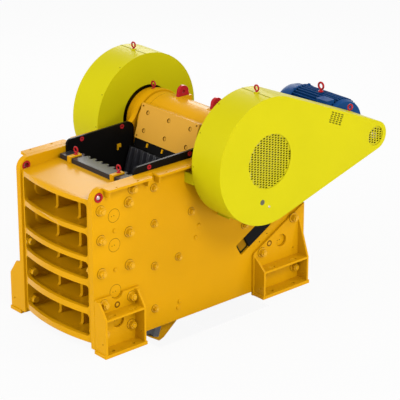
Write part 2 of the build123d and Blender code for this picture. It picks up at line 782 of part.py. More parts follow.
# Lifting lugs on the barrel
with BuildPart() as lugs:
    for x in (lug_x, -lug_x):
        with BuildSketch(side_plane(x - lug_t / 2)):
            middle = shaft_y + lug_shift
            crown = lug_low + lug_h - lug_top_r
            with BuildLine():
                Polyline((middle - lug_top_r, crown), (middle - lug_w / 2, lug_low + seat_gap),
                         (middle + lug_w / 2, lug_low + seat_gap), (middle + lug_top_r, crown))
                ThreePointArc((middle + lug_top_r, crown), (middle, crown + lug_top_r), (middle - lug_top_r, crown))
            make_face()
            with Locations((middle, crown)):
                Circle(lug_bore_r, mode=Mode.SUBTRACT)
        extrude(amount=lug_t)
keep(lugs, "pitman_lifting_lugs")

# Toggle beam in the slots, and the toggle plate below it
with BuildPart() as toggle_beam:
    with BuildSketch(side_plane(-outer)):
        with BuildLine():
            high = slot_w / 2 - beam_gap
            low = seat_gap - slot_w / 2
            beam_end = beam_start + beam_len
            Polyline(toggle_point(beam_start, low), toggle_point(beam_end, low),
                     toggle_point(beam_end, high), toggle_point(beam_start, high), close=True)
        make_face()
    extrude(amount=2 * outer)
keep(toggle_beam, "toggle_beam")

# Spacer blocks in the lower ends of the slots
with BuildPart() as spacers:
    for side, word in SIDES:
        with BuildSketch(side_plane(side * inner)) as block:
            with BuildLine():
                Polyline(toggle_point(seat_gap, low), toggle_point(beam_start - seat_gap, low),
                         toggle_point(beam_start - seat_gap, high), toggle_point(seat_gap, high), close=True)
            make_face()
            for across in (low, high):
                corner = toggle_point(seat_gap, across)
                fillet(block.vertices().sort_by_distance((corner[0], corner[1], 0))[0], slot_corner_r)
        extrude(amount=side * (side_t - spacer_inset))
keep(spacers, "toggle_spacers")

toggle_half = chamber_w / 2 - toggle_side_gap
with BuildPart() as toggle_seat:
    with BuildSketch(side_plane(-toggle_half)):
        with BuildLine():
            Polyline(toggle_point(seat_along - seat_t, -90), toggle_point(seat_along, -90),
                     toggle_point(seat_along, 90), toggle_point(seat_along - seat_t, 90), close=True)
        make_face()
    extrude(amount=2 * toggle_half)
keep(toggle_seat, "toggle_seat")

with BuildPart() as toggle_plate:
    with BuildSketch(side_plane(-toggle_half)):
        with BuildLine():
            Polyline(toggle_point(seat_along + toggle_gap, -toggle_t / 2), toggle_point(beam_start, -toggle_t / 2),
                     toggle_point(beam_start, toggle_t / 2),
                     toggle_point(seat_along + toggle_gap, toggle_t / 2), close=True)
        make_face()
    extrude(amount=2 * toggle_half)
keep(toggle_plate, "toggle_plate")

# Rear frame between the side plates, with a stop behind the beam and cells open to the rear
rear_inset = 6.0
rear_low = 90.0
rear_high = 1048.0
rear_sole = 250.0
rear_cell_w = 320.0
rear_rib_t = 40.0
rear_cells = ((150.0, 500.0, 205.0), (550.0, 990.0, 420.0))
rear_face = plate_rear - rear_inset
with BuildPart() as rear_frame:
    with BuildSketch(side_plane(-inner)):
        with BuildLine():
            stop = toggle_point(beam_end + seat_gap, slot_w / 2)
            Polyline(toggle_point(ledge_start, -slot_w / 2), toggle_point(beam_end + seat_gap, -slot_w / 2),
                     stop, (stop[0] + rear_rib_t, rear_high), (rear_face, rear_high), (rear_face, rear_low),
                     (rear_face - rear_sole, rear_low), close=True)
        make_face()
    extrude(amount=2 * inner)
    for low, high, depth in rear_cells:
        for x in (-1, 0, 1):
            with BuildSketch(Plane.XZ.offset(-rear_face)):
                with Locations((x * (rear_cell_w + rear_rib_t), (low + high) / 2)):
                    RectangleRounded(rear_cell_w, high - low, cell_corner)
            extrude(amount=depth, mode=Mode.SUBTRACT)
keep(rear_frame, "rear_frame")

# Motor: finned body on feet, end bell and shaft; fan cover and terminal box are their own pieces
with BuildPart() as motor:
    with BuildSketch(side_plane(motor_body_start)):
        with Locations((motor_y, motor_z)):
            Circle(motor_core_r)
            with PolarLocations((motor_core_r + motor_r) / 2 - fin_t, fin_count):
                Rectangle(motor_r - motor_core_r + 2 * fin_t, fin_t)
    extrude(amount=motor_body_end - motor_body_start)
    for end_x in (motor_body_start, motor_body_end - motor_foot_len):
        with BuildSketch(side_plane(end_x)):
            with BuildLine():
                Polyline((motor_y - motor_foot_w, base_top), (motor_y + motor_foot_w, base_top),
                         (motor_y + motor_foot_w, base_top + base_t), (motor_y + motor_core_r * 0.8, motor_z),
                         (motor_y - motor_core_r * 0.8, motor_z), (motor_y - motor_foot_w, base_top + base_t),
                         close=True)
            make_face()
        extrude(amount=motor_foot_len)
    with BuildSketch(side_plane(motor_body_end)):
        with Locations((motor_y, motor_z)):
            Circle(end_bell_r)
    extrude(amount=end_bell_t, taper=15)
    with BuildSketch(side_plane(motor_body_end)):
        with Locations((motor_y, motor_z)):
            Circle(motor_shaft_r)
    extrude(amount=drum_out - drum_in + wheel_gap)
keep(motor, "motor")

with BuildPart() as fan_cover:
    with BuildSketch(Plane(origin=(0, motor_y, motor_z), x_dir=(1, 0, 0), z_dir=(0, -1, 0))):
        with BuildLine():
            cover_r = end_bell_r - fin_t / 3
            Polyline((motor_body_start, 0), (motor_body_start, cover_r), (motor_fan_end + 2 * base_t, cover_r),
                     (motor_fan_end + base_t / 2, cover_r - base_t / 2), (motor_fan_end, cover_r - 2 * base_t),
                     (motor_fan_end, 0), close=True)
        make_face()
    revolve(axis=Axis((0, motor_y, motor_z), (1, 0, 0)))
keep(fan_cover, "motor_fan_cover")

with BuildPart() as connection_box:
    with Locations((motor_body_end - terminal_box[0] / 2, terminal_box_y, terminal_box_z + terminal_box[2] / 2)):
        Box(*terminal_box)
    fillet(connection_box.edges().filter_by(Axis.Z), fin_t)
    with BuildSketch(side_plane(motor_body_end - terminal_box[0])):
        with Locations((motor_y, motor_z)):
            Circle(motor_r + seat_gap)
    extrude(amount=terminal_box[0], mode=Mode.SUBTRACT)
keep(connection_box, "motor_terminal_box")

with BuildPart() as motor_base:
    with BuildSketch(Plane.XY.offset(base_top - base_t)):
        with Locations((0, (base_front + base_rear) / 2)):
            Rectangle(2 * outer, base_rear - base_front)
    extrude(amount=base_t)
    for side in (1, -1):
        with BuildSketch(side_plane(side * (outer - bracket_side_t))):
            with BuildLine():
                Polyline((plate_rear, bracket_low), (plate_rear, base_top - base_t),
                         (motor_y + bracket_reach, base_top - base_t), close=True)
            make_face()
        extrude(amount=side * bracket_side_t)
keep(motor_base, "motor_base")

sheave_in = wheel_mid - wheel_w / 2
with BuildPart() as motor_sheave:
    with BuildSketch(side_plane(sheave_in)):
        with Locations((motor_y, motor_z)):
            Circle(sheave_r)
            Circle(motor_shaft_r + run_gap, mode=Mode.SUBTRACT)
    extrude(amount=wheel_w)
keep(motor_sheave, "motor_sheave")

with BuildPart() as belts:
    for i in range(belt_count):
        start = wheel_mid + (i - belt_count / 2) * groove_pitch + belt_side_gap
        with BuildSketch(side_plane(start)):
            with BuildLine():
                teardrop(wheel_r + belt_gap + belt_t, sheave_r + belt_gap + belt_t)
            make_face()
            with BuildLine():
                teardrop(wheel_r + belt_gap, sheave_r + belt_gap)
            make_face(mode=Mode.SUBTRACT)
        extrude(amount=groove_pitch - 2 * belt_side_gap)
keep(belts, "drive_belts")

# Lifting eyes: a flat ring on a short neck, screwed into what it lifts
guard_eye_y = 1904.0
guard_slope = atan2(motor_z - shaft_z, motor_y - shaft_y)
side_length = hypot(motor_y - shaft_y, motor_z - shaft_z)
guard_turn = guard_slope + pi / 2 - atan2(drum_r - nose_r, sqrt(side_length ** 2 - (drum_r - nose_r) ** 2))
guard_eye_z = shaft_z + (drum_r - (guard_eye_y - shaft_y) * cos(guard_turn)) / sin(guard_turn)
clamp_eye_y = -867.0
motor_eye = 1.3
eye_places = [(side * wheel_mid, shaft_y, shaft_z + drum_r, pi / 2, 1) for side, word in SIDES]
eye_places += [(side * (outer + housing_flange_t / 2), shaft_y, shaft_z + housing_flange_r, pi / 2, 1)
               for side, word in SIDES]
eye_places += [(side * clamp_x, clamp_eye_y, fixed_high + clamp_t, pi / 2, 1) for side, word in SIDES]
eye_places += [((motor_body_start + motor_body_end) / 2 - fin_t, motor_y, motor_z + motor_r, pi / 2, motor_eye),
               (wheel_mid, guard_eye_y, guard_eye_z, guard_turn, 1)]
with BuildPart() as eyes:
    for x, y, z, turn, grow in eye_places:
        with BuildSketch(Plane(origin=(x, y, z), x_dir=(1, 0, 0), z_dir=(0, -sin(turn), cos(turn)))):
            with Locations((0, grow * eye_r / 2)):
                Rectangle(2 * grow * eye_neck_r, grow * eye_r - 2 * seat_gap)
            with Locations((0, grow * (eye_r + eye_neck_r))):
                Circle(grow * eye_r)
                Circle(grow * eye_bore_r, mode=Mode.SUBTRACT)
        extrude(amount=grow * eye_t / 2, both=True)
keep(eyes, "lifting_eyes")
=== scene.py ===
import bpy
import bmesh
import json
import numpy as np
from math import cos, pi, radians, sin, sqrt
from mathutils import Matrix, Vector
from mathutils.geometry import delaunay_2d_cdt


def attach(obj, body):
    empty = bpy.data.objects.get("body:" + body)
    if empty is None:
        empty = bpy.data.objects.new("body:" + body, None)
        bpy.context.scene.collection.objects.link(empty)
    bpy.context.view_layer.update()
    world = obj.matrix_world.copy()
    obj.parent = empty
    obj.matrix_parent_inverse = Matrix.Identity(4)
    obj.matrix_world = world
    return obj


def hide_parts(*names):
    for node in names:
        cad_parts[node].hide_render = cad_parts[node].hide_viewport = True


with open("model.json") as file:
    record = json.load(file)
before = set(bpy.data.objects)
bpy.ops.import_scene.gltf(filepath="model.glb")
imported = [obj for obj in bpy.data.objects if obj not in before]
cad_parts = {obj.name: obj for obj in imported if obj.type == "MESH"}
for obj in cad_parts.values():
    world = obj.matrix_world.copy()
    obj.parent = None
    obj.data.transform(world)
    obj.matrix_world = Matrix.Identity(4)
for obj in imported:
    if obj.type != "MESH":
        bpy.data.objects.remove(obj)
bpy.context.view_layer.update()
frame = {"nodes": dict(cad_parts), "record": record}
nodes = frame["nodes"]
bodyOf = {node: body for body, names in frame["record"]["behaviour"]["bodies"].items() for node in names}
print("frame loaded:", len(nodes), "nodes")

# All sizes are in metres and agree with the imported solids.
machine = {
    "shaftY": 0.492, "shaftZ": 1.862, "motorY": 2.117, "motorZ": 1.767, "throw": 0.015,
    "plateOut": 0.660, "wheelMid": 1.029, "drumR": 0.718, "drumIn": 0.804, "drumOut": 1.254, "footFace": 0.690,
}

view = {
    "azimuth": 48.8, "elevation": 21.9, "lens": 166.5, "sensor": 36.0, "far": 200.0,
    "place": (14.6445, -12.2242, 8.8382),
}


# A matrix at a place whose Z points along a direction and whose X lies level.
def aimed(back, place):
    back = back / np.linalg.norm(back)
    side = np.cross([0, 0, 1], back)
    side /= np.linalg.norm(side)
    m = np.eye(4)
    m[:3, 0], m[:3, 1], m[:3, 2], m[:3, 3] = side, np.cross(back, side), back, place
    return Matrix(m.tolist())


# The camera looks along the azimuth and elevation of the photograph, from a fixed place.
def setCamera():
    data = bpy.data.cameras.new("photoCamera")
    data.lens, data.sensor_width, data.clip_end = view["lens"], view["sensor"], view["far"]
    cam = bpy.data.objects.new("photoCamera", data)
    a, e = radians(view["azimuth"]), radians(view["elevation"])
    cam.matrix_world = aimed(np.array([sin(a) * cos(e), -cos(a) * cos(e), sin(e)]), view["place"])
    bpy.context.scene.collection.objects.link(cam)
    bpy.context.scene.camera = cam


setCamera()
bpy.context.scene.view_settings.view_transform = "Standard"
print("camera set")


# Small builders for shader nodes

# A Math node, with its second input set where a value is given.
def mathNode(tree, operation, value=None):
    node = tree.nodes.new("ShaderNodeMath")
    node.operation = operation
    if value is not None:
        node.inputs[1].default_value = value
    return node


# A Map Range node from one band of values to another.
def rangeNode(tree, source=(0.0, 1.0), target=(0.0, 1.0)):
    node = tree.nodes.new("ShaderNodeMapRange")
    for label, value in zip(("From Min", "From Max", "To Min", "To Max"), (*source, *target)):
        node.inputs[label].default_value = value
    return node


# A noise texture that reads object coordinates.
def noiseNode(tree, detail):
    coords = tree.nodes.new("ShaderNodeTexCoord")
    noise = tree.nodes.new("ShaderNodeTexNoise")
    noise.inputs["Detail"].default_value = detail
    tree.links.new(coords.outputs["Object"], noise.inputs["Vector"])
    return noise


# A shared group placed in a tree with its own values.
def groupNode(tree, group, **values):
    node = tree.nodes.new("ShaderNodeGroup")
    node.node_tree = group
    for label, value in values.items():
        node.inputs[label].default_value = value
    return node


# Links sockets to a node's first inputs in turn; returns the node's first output.
def feed(tree, node, *sockets):
    for place, socket in enumerate(sockets):
        tree.links.new(socket, node.inputs[place])
    return node.outputs[0]


# One where a surface is seen by the camera or in a glossy reflection, and zero for all other light.
def directlySeen(tree):
    path = tree.nodes.new("ShaderNodeLightPath")
    return feed(tree, mathNode(tree, "MAXIMUM"), path.outputs["Is Camera Ray"], path.outputs["Is Glossy Ray"])


# A new material, with its node tree and its surface shader.
def newMaterial(name):
    mat = bpy.data.materials.new(name)
    mat.use_nodes = True
    return mat, mat.node_tree, mat.node_tree.nodes["Principled BSDF"]


# Node groups for what several finishes share

# An empty shader group with float or colour inputs and outputs; returns it with its two end nodes.
def newGroup(name, inputs, outputs):
    group = bpy.data.node_groups.new(name, "ShaderNodeTree")
    for label, kind, value in inputs:
        socket = group.interface.new_socket(label, in_out="INPUT", socket_type=kind)
        socket.default_value = value
    for label, kind in outputs:
        group.interface.new_socket(label, in_out="OUTPUT", socket_type=kind)
    return group, group.nodes.new("NodeGroupInput"), group.nodes.new("NodeGroupOutput")


filmSizes = {"driftScale": 1.7, "driftDetail": 3.0, "driftBand": (0.3, 0.7), "peelDetail": 2.0,
             "roughBand": (-0.06, 0.08)}


# Sprayed paint: slow colour drift, fine orange peel as a height, and roughness that varies with the drift.
def makePaintFilm():
    group, enter, leave = newGroup(
        "paintFilm",
        [("Colour", "NodeSocketColor", (1, 1, 1, 1)), ("Drift", "NodeSocketFloat", 0.06),
         ("Peel", "NodeSocketFloat", 220.0), ("Gloss", "NodeSocketFloat", 0.38)],
        [("Colour", "NodeSocketColor"), ("Roughness", "NodeSocketFloat"), ("Height", "NodeSocketFloat")])
    link = group.links.new
    slow = noiseNode(group, filmSizes["driftDetail"])
    slow.inputs["Scale"].default_value = filmSizes["driftScale"]
    spread = feed(group, rangeNode(group, filmSizes["driftBand"], (-1.0, 1.0)), slow.outputs["Fac"])
    scaled = feed(group, mathNode(group, "MULTIPLY"), spread, enter.outputs["Drift"])
    tint = group.nodes.new("ShaderNodeHueSaturation")
    link(enter.outputs["Colour"], tint.inputs["Color"])
    link(feed(group, mathNode(group, "ADD", 1.0), scaled), tint.inputs["Value"])
    link(tint.outputs["Color"], leave.inputs["Colour"])
    fine = noiseNode(group, filmSizes["peelDetail"])
    link(enter.outputs["Peel"], fine.inputs["Scale"])
    link(fine.outputs["Fac"], leave.inputs["Height"])
    rough = feed(group, rangeNode(group, target=filmSizes["roughBand"]), slow.outputs["Fac"])
    link(feed(group, mathNode(group, "ADD"), enter.outputs["Gloss"], rough), leave.inputs["Roughness"])
    return group


grainDetail = 3.0


# Sand-cast skin: a coarse noise for waves and a fine one for grains, mixed into one height.
def makeCastGrain():
    group, enter, leave = newGroup(
        "castGrain",
        [("Coarse", "NodeSocketFloat", 14.0), ("Fine", "NodeSocketFloat", 160.0), ("Share", "NodeSocketFloat", 0.5)],
        [("Height", "NodeSocketFloat")])
    link = group.links.new
    mix = group.nodes.new("ShaderNodeMix")
    link(enter.outputs["Share"], mix.inputs["Factor"])
    for label, socket in (("Coarse", mix.inputs[2]), ("Fine", mix.inputs[3])):
        noise = noiseNode(group, grainDetail)
        link(enter.outputs[label], noise.inputs["Scale"])
        link(noise.outputs["Fac"], socket)
    link(mix.outputs[0], leave.inputs["Height"])
    return group


paintFilm, castGrain = makePaintFilm(), makeCastGrain()


# Linear colour from a six-digit display colour.
def srgb(text):
    c = np.array([int(text[i:i + 2], 16) for i in (0, 2, 4)]) / 255.0
    return (*np.where(c <= 0.04045, c / 12.92, ((c + 0.055) / 1.055) ** 2.4), 1.0)


paintSizes = {"coatRough": 0.20, "lowAngle": (0.45, 0.72), "passedShare": 0.75, "bumpDepth": 0.002}


# A height turned into the shader's normal by a bump of one depth.
def addBump(tree, shader, height, strength):
    lift = tree.nodes.new("ShaderNodeBump")
    lift.inputs["Distance"].default_value = paintSizes["bumpDepth"]
    lift.inputs["Strength"].default_value = strength
    tree.links.new(height, lift.inputs["Height"])
    tree.links.new(lift.outputs["Normal"], shader.inputs["Normal"])


# A painted surface from the shared groups: film colour, with orange peel or cast grain as bump.
# Its clear coat shows only on faces seen at a low angle, and light that it passes on is paler than its colour.
def paintMaterial(name, colour, gloss=0.36, coat=1.0, level=0.07, drift=0.05, bump=0.02, cast=0.0,
                  castScale=(14.0, 160.0), passed="8C7A50"):
    mat, tree, shader = newMaterial(name)
    link = tree.links.new
    shader.inputs["Specular IOR Level"].default_value = level
    shader.inputs["Coat Roughness"].default_value = paintSizes["coatRough"]
    low = tree.nodes.new("ShaderNodeLayerWeight")
    sheen = feed(tree, rangeNode(tree, paintSizes["lowAngle"], (0.0, coat)), low.outputs["Facing"])
    link(sheen, shader.inputs["Coat Weight"])
    film = groupNode(tree, paintFilm, Colour=srgb(colour), Drift=drift, Gloss=gloss)
    path = tree.nodes.new("ShaderNodeLightPath")
    share = feed(tree, mathNode(tree, "MULTIPLY", paintSizes["passedShare"]), path.outputs["Is Diffuse Ray"])
    bounce = tree.nodes.new("ShaderNodeMix")
    bounce.data_type = "RGBA"
    bounce.inputs[7].default_value = srgb(passed)
    link(share, bounce.inputs["Factor"])
    link(film.outputs["Colour"], bounce.inputs[6])
    link(bounce.outputs[2], shader.inputs["Base Color"])
    link(film.outputs["Roughness"], shader.inputs["Roughness"])
    if cast:
        grain = groupNode(tree, castGrain, Coarse=castScale[0], Fine=castScale[1])
        addBump(tree, shader, grain.outputs["Height"], cast)
    else:
        addBump(tree, shader, film.outputs["Height"], bump)
    return mat


finishes = {
    "frameYellow": dict(colour="F2AF08", gloss=0.34, drift=0.03, bump=0.03, coat=0.35),
    "castYellow": dict(colour="F2AF08", gloss=0.34, drift=0.03, cast=0.12, coat=0.8),
    "paleYellow": dict(colour="F2B340", gloss=0.34, drift=0.03, bump=0.03),
    "guardYellow": dict(colour="DFD40F", gloss=0.38, drift=0.02, coat=0.1),
    "screenYellow": dict(colour="D8CC16", gloss=0.42, drift=0.02),
    "blackPaint": dict(colour="121110", gloss=0.4, drift=0.15, bump=0.05, coat=0.5, passed="101010"),
    "motorBlue": dict(colour="164A86", gloss=0.42, cast=0.15, castScale=(30.0, 260.0), coat=0.12, passed="101820"),
    "liftingRed": dict(colour="C4292F", gloss=0.34, bump=0.03),
    # Painted shade: a darker copy of the frame yellow for gaps, holes, seams and recess walls
    "gapShade": dict(colour="8A5A06", gloss=0.6),
    "barrelYellow": dict(colour="F2AF10", gloss=0.42, drift=0.03, cast=0.12, coat=0.45),
    # Painted shade: a darker copy of the frame yellow for the spacer blocks sunk in the toggle slots
    "shadedSpacerYellow": dict(colour="B07C06", gloss=0.5, bump=0.03, coat=0.0),
    "boltYellow": dict(colour="F5B40E", gloss=0.24, drift=0.02, level=0.3),
    # Painted shade: a darker copy of the guard yellow for the band screws and lapped joints
    "guardShade": dict(colour="B0A60E", gloss=0.5, drift=0.03, coat=0.0),
    "plugGrey": dict(colour="6F6D58", gloss=0.6, bump=0.05, coat=0.1),
    # Painted shade: near-black olive for the gap round the toggle spacers and for the guard's vent slots
    "slotShade": dict(colour="2E2A06", gloss=0.6, coat=0.0),
    "wheelPaint": dict(colour="54400F", gloss=0.5, drift=0.1, cast=0.2, coat=0.2),
    "jawSteel": dict(colour="222126", gloss=0.46, drift=0.15, cast=0.18, castScale=(18.0, 200.0), level=0.42,
                     coat=0.7, passed="101010"),
    "toothSteel": dict(colour="26262B", gloss=0.30, drift=0.1, cast=0.10, castScale=(18.0, 200.0), level=0.9,
                       passed="101010"),
    "belt": dict(colour="151515", gloss=0.7, drift=0.1, bump=0.1),
}
paints = {name: paintMaterial(name, **sizes) for name, sizes in finishes.items()}


# Bare metal: film colour for drift, cast grain as bump and its own metallic share.
def metalMaterial(name, colour, rough, metallic, grain):
    mat, tree, shader = newMaterial(name)
    shader.inputs["Metallic"].default_value = metallic
    film = groupNode(tree, paintFilm, Colour=srgb(colour), Drift=0.2, Gloss=rough)
    tree.links.new(film.outputs["Colour"], shader.inputs["Base Color"])
    tree.links.new(film.outputs["Roughness"], shader.inputs["Roughness"])
    skin = groupNode(tree, castGrain, Coarse=20.0, Fine=240.0)
    addBump(tree, shader, skin.outputs["Height"], grain)
    return mat


# Turned steel tinted pink: a painted reflection of the red lifting bushes round its domes
paints["turnedSteel"] = metalMaterial("turnedSteel", "C9B7B8", rough=0.3, metallic=1.0, grain=0.03)
paints["oiledSteel"] = metalMaterial("oiledSteel", "4A463E", rough=0.45, metallic=0.7, grain=0.06)
paints["toggleIron"] = metalMaterial("toggleIron", "7A6240", rough=0.55, metallic=0.3, grain=0.3)
print("materials made:", len(paints))


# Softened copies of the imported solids: the same shapes with small rounded edges

softSizes = {"weld": 2e-5, "flatAngle": 0.6, "segments": 2, "sharpAngle": 32.0}


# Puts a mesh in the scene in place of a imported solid, riding the body that the solid belongs to.
def standIn(name, mesh, node, paint):
    mesh.materials.clear()
    mesh.materials.append(paints[paint])
    piece = bpy.data.objects.new(name, mesh)
    bpy.context.scene.collection.objects.link(piece)
    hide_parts(node)
    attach(piece, bodyOf[node])
    return piece


# A merged copy of one solid with its edges rounded by a small bevel; it stands for the plain solid.
def softened(node, width, paint, slotName):
    mesh = nodes[node].data.copy()
    work = bmesh.new()
    work.from_mesh(mesh)
    bmesh.ops.remove_doubles(work, verts=work.verts, dist=softSizes["weld"])
    bmesh.ops.dissolve_limit(work, angle_limit=radians(softSizes["flatAngle"]), verts=work.verts, edges=work.edges)
    work.to_mesh(mesh)
    work.free()
    mesh.shade_smooth()
    mesh.set_sharp_from_angle(angle=radians(softSizes["sharpAngle"]))
    bevel = standIn(node + "Skin", mesh, node, paint).modifiers.new("edge", "BEVEL")
    bevel.width, bevel.segments, bevel.limit_method = width, softSizes["segments"], "ANGLE"
    bevel.angle_limit = radians(softSizes["sharpAngle"])
    bevel.use_clamp_overlap = True
    bevel.harden_normals = True


# For each solid: the bevel's width, the paint and the material slot
soft = {
    "side_plate_right": (0.005, "frameYellow", "frame_yellow"),
    "side_plate_left": (0.005, "frameYellow", "frame_yellow"),
    "front_frame": (0.008, "castYellow", "frame_yellow"), "rear_frame": (0.006, "castYellow", "frame_yellow"),
    "foot_front_right": (0.003, "frameYellow", "frame_yellow"),
    "foot_front_left": (0.003, "frameYellow", "frame_yellow"),
    "foot_rear_right": (0.003, "frameYellow", "frame_yellow"),
    "foot_rear_left": (0.003, "frameYellow", "frame_yellow"),
    "hopper_flange_right": (0.003, "frameYellow", "frame_yellow"),
    "hopper_flange_left": (0.003, "frameYellow", "frame_yellow"),
    "belt_guard": (0.003, "guardYellow", "guard_yellow"), "flywheel_guard": (0.003, "guardYellow", "guard_yellow"),
    "guard_brackets_right": (0.002, "guardYellow", "guard_yellow"),
    "guard_brackets_left": (0.002, "guardYellow", "guard_yellow"),
    "cheek_plate_right": (0.004, "blackPaint", "black_paint"), "cheek_plate_left": (0.004, "blackPaint", "black_paint"),
    "fixed_jaw_die": (0.006, "jawSteel", "jaw_steel"), "swing_jaw_die": (0.006, "toothSteel", "jaw_steel"),
    "swing_die_key": (0.004, "blackPaint", "black_paint"), "toggle_beam": (0.005, "blackPaint", "black_paint"),
    "pitman": (0.006, "barrelYellow", "frame_yellow"), "pitman_guard_plate": (0.003, "paleYellow", "frame_yellow"),
    "pitman_lifting_lugs": (0.006, "liftingRed", "lifting_red"),
    "toggle_spacers": (0.003, "shadedSpacerYellow", "frame_yellow"),
    "bearing_housing_right": (0.004, "castYellow", "frame_yellow"),
    "bearing_housing_left": (0.004, "castYellow", "frame_yellow"),
    "fixed_jaw_clamps": (0.004, "frameYellow", "frame_yellow"),
    "swing_die_clamps": (0.002, "frameYellow", "frame_yellow"),
    "motor": (0.002, "motorBlue", "motor_blue"), "motor_fan_cover": (0.006, "motorBlue", "motor_blue"),
    "motor_terminal_box": (0.005, "motorBlue", "motor_blue"), "motor_base": (0.004, "frameYellow", "frame_yellow"),
    "flywheel_right": (0.006, "wheelPaint", "wheel_iron"), "flywheel_left": (0.006, "wheelPaint", "wheel_iron"),
}
for node, look in soft.items():
    softened(node, *look)

# Solids shown as they are, with the paint for each
plain = {
    "cheek_plugs": "liftingRed", "lifting_bushes": "liftingRed", "lifting_eyes": "liftingRed",
    "belt_guard_screens": "screenYellow", "flywheel_guard_screen": "screenYellow", "drive_belts": "belt",
    "motor_sheave": "wheelPaint", "toggle_plate": "toggleIron", "toggle_seat": "toggleIron",
}
for node, paint in plain.items():
    for place in nodes[node].material_slots:
        place.material = paints[paint]
print("solids dressed")


slim = {"r": 0.150, "near": 0.0005, "less": 0.0015}


# The shaft's eccentric is drawn a little slimmer, so its flat facets stay inside the pitman's bore at every pose:
# points at its radius from its axis are moved towards that axis.
def slimShaft():
    mesh = nodes["eccentric_shaft"].data.copy()
    points = np.empty(len(mesh.vertices) * 3)
    mesh.vertices.foreach_get("co", points)
    points = points.reshape(-1, 3)
    axis = np.array([machine["shaftY"], machine["shaftZ"] - machine["throw"]])
    off = points[:, 1:] - axis
    onRim = np.abs(np.hypot(off[:, 0], off[:, 1]) - slim["r"]) < slim["near"]
    points[:, 1:] = axis + off * np.where(onRim, 1 - slim["less"] / slim["r"], 1.0)[:, None]
    mesh.vertices.foreach_set("co", points.ravel())
    mesh.update()
    standIn("shaftSkin", mesh, "eccentric_shaft", "oiledSteel")
    print("eccentric points drawn in:", int(onRim.sum()))


slimShaft()


# Surfaces: every new piece is a grid over two parameters, worked out as whole arrays

# Faces of a grid whose columns close on themselves; rows may close too, or else the two ends are capped.
def ringFaces(rows, columns, closed=False):
    i = np.arange(rows if closed else rows - 1)[:, None]
    j = np.arange(columns)[None, :]
    here, above = i * columns, (i + 1) % rows * columns
    right = (j + 1) % columns
    faces = np.stack([here + j, here + right, above + right, above + j], -1).reshape(-1, 4).tolist()
    if not closed:
        faces += [list(range(columns))[::-1], list(range((rows - 1) * columns, rows * columns))]
    return faces


# A profile of (radius, height) steps turned about Z: point = (r cos t, r sin t, h).
def turned(profile, columns=24, closed=False):
    profile = np.asarray(profile, float)
    t = np.linspace(0, 2 * pi, columns, endpoint=False)
    r, h = profile[:, :1], profile[:, 1:]
    points = np.stack([r * np.cos(t), r * np.sin(t), np.repeat(h, columns, 1)], -1).reshape(-1, 3)
    return points, ringFaces(len(profile), columns, closed)


# A nut's levels as shares of its height, and its largest radius at each as a share of the corners' radius
nutForm = {"levels": (0.0, 0.03, 0.8, 0.93, 1.0), "limits": (0.97, 1.0, 1.0, 0.955, 0.88)}


# A hexagon with its top corners turned off: the radius is the flat's half width over the cosine of the angle
# from the nearest flat, and no more than the chamfer cone allows at that height.
def hexagon(across, height, low=0.0, columns=24):
    t = np.linspace(0, 2 * pi, columns, endpoint=False)
    flat = across / 2 / np.cos((t + pi / 6) % (pi / 3) - pi / 6)
    limit = (np.array(nutForm["limits"]) * (across / sqrt(3)))[:, None]
    h = (np.array(nutForm["levels"]) * height + low)[:, None]
    r = np.minimum(flat, limit)
    points = np.stack([r * np.cos(t), r * np.sin(t), np.repeat(h, columns, 1)], -1).reshape(-1, 3)
    return points, ringFaces(5, columns)


# A thin flat ring: its inner radius, width and thickness turned about Z.
def flatRing(inner, width, thick, columns=32):
    return turned([(inner + width, 0), (inner + width, thick), (inner, thick), (inner, 0)], columns, True)


# A ring of round section: the turned circle (R + a cos s, a sin s).
def torus(major, minor, columns=36, around=12):
    s = np.linspace(0, 2 * pi, around, endpoint=False)
    return turned(np.stack([major + minor * np.cos(s), minor * np.sin(s)], -1), columns, closed=True)


# Points turned so that their Z looks along an axis, spun about it, and moved to a centre.
def placed(shape, centre, axis=(0, 0, 1), spin=0.0):
    points, faces = shape
    z = np.asarray(axis, float) / np.linalg.norm(axis)
    x = np.cross((0, 0, 1) if abs(z[2]) < 0.9 else (0, 1, 0), z)
    x /= np.linalg.norm(x)
    y = np.cross(z, x)
    x, y = cos(spin) * x + sin(spin) * y, cos(spin) * y - sin(spin) * x
    return points @ np.stack([x, y, z]) + np.asarray(centre, float), faces


# Several shapes as one surface: their points in turn, and their faces counted on past the points before them.
def joined(shapes):
    points, faces, start = [], [], 0
    for p, f in shapes:
        points.append(p)
        faces += [[v + start for v in face] for face in f]
        start += len(p)
    return np.vstack(points), faces


# A surface as a piece of the scene: smooth but for edges sharper than the angle, which a bevel may round.
def addPiece(name, shape, paint, body, angle=35.0, bevel=0.0):
    points, faces = shape
    mesh = bpy.data.meshes.new(name)
    mesh.from_pydata(np.asarray(points).tolist(), [], faces)
    mesh.materials.append(paints[paint])
    mesh.shade_smooth()
    mesh.set_sharp_from_angle(angle=radians(angle))
    piece = bpy.data.objects.new(name, mesh)
    bpy.context.scene.collection.objects.link(piece)
    if bevel:
        edge = piece.modifiers.new("edge", "BEVEL")
        edge.width, edge.segments, edge.limit_method = bevel, 2, "ANGLE"
        edge.angle_limit = radians(angle)
        edge.harden_normals = True
    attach(piece, body)
    return piece


# Bolts: a washer, a hex nut and the stud's chamfered end, in five sizes

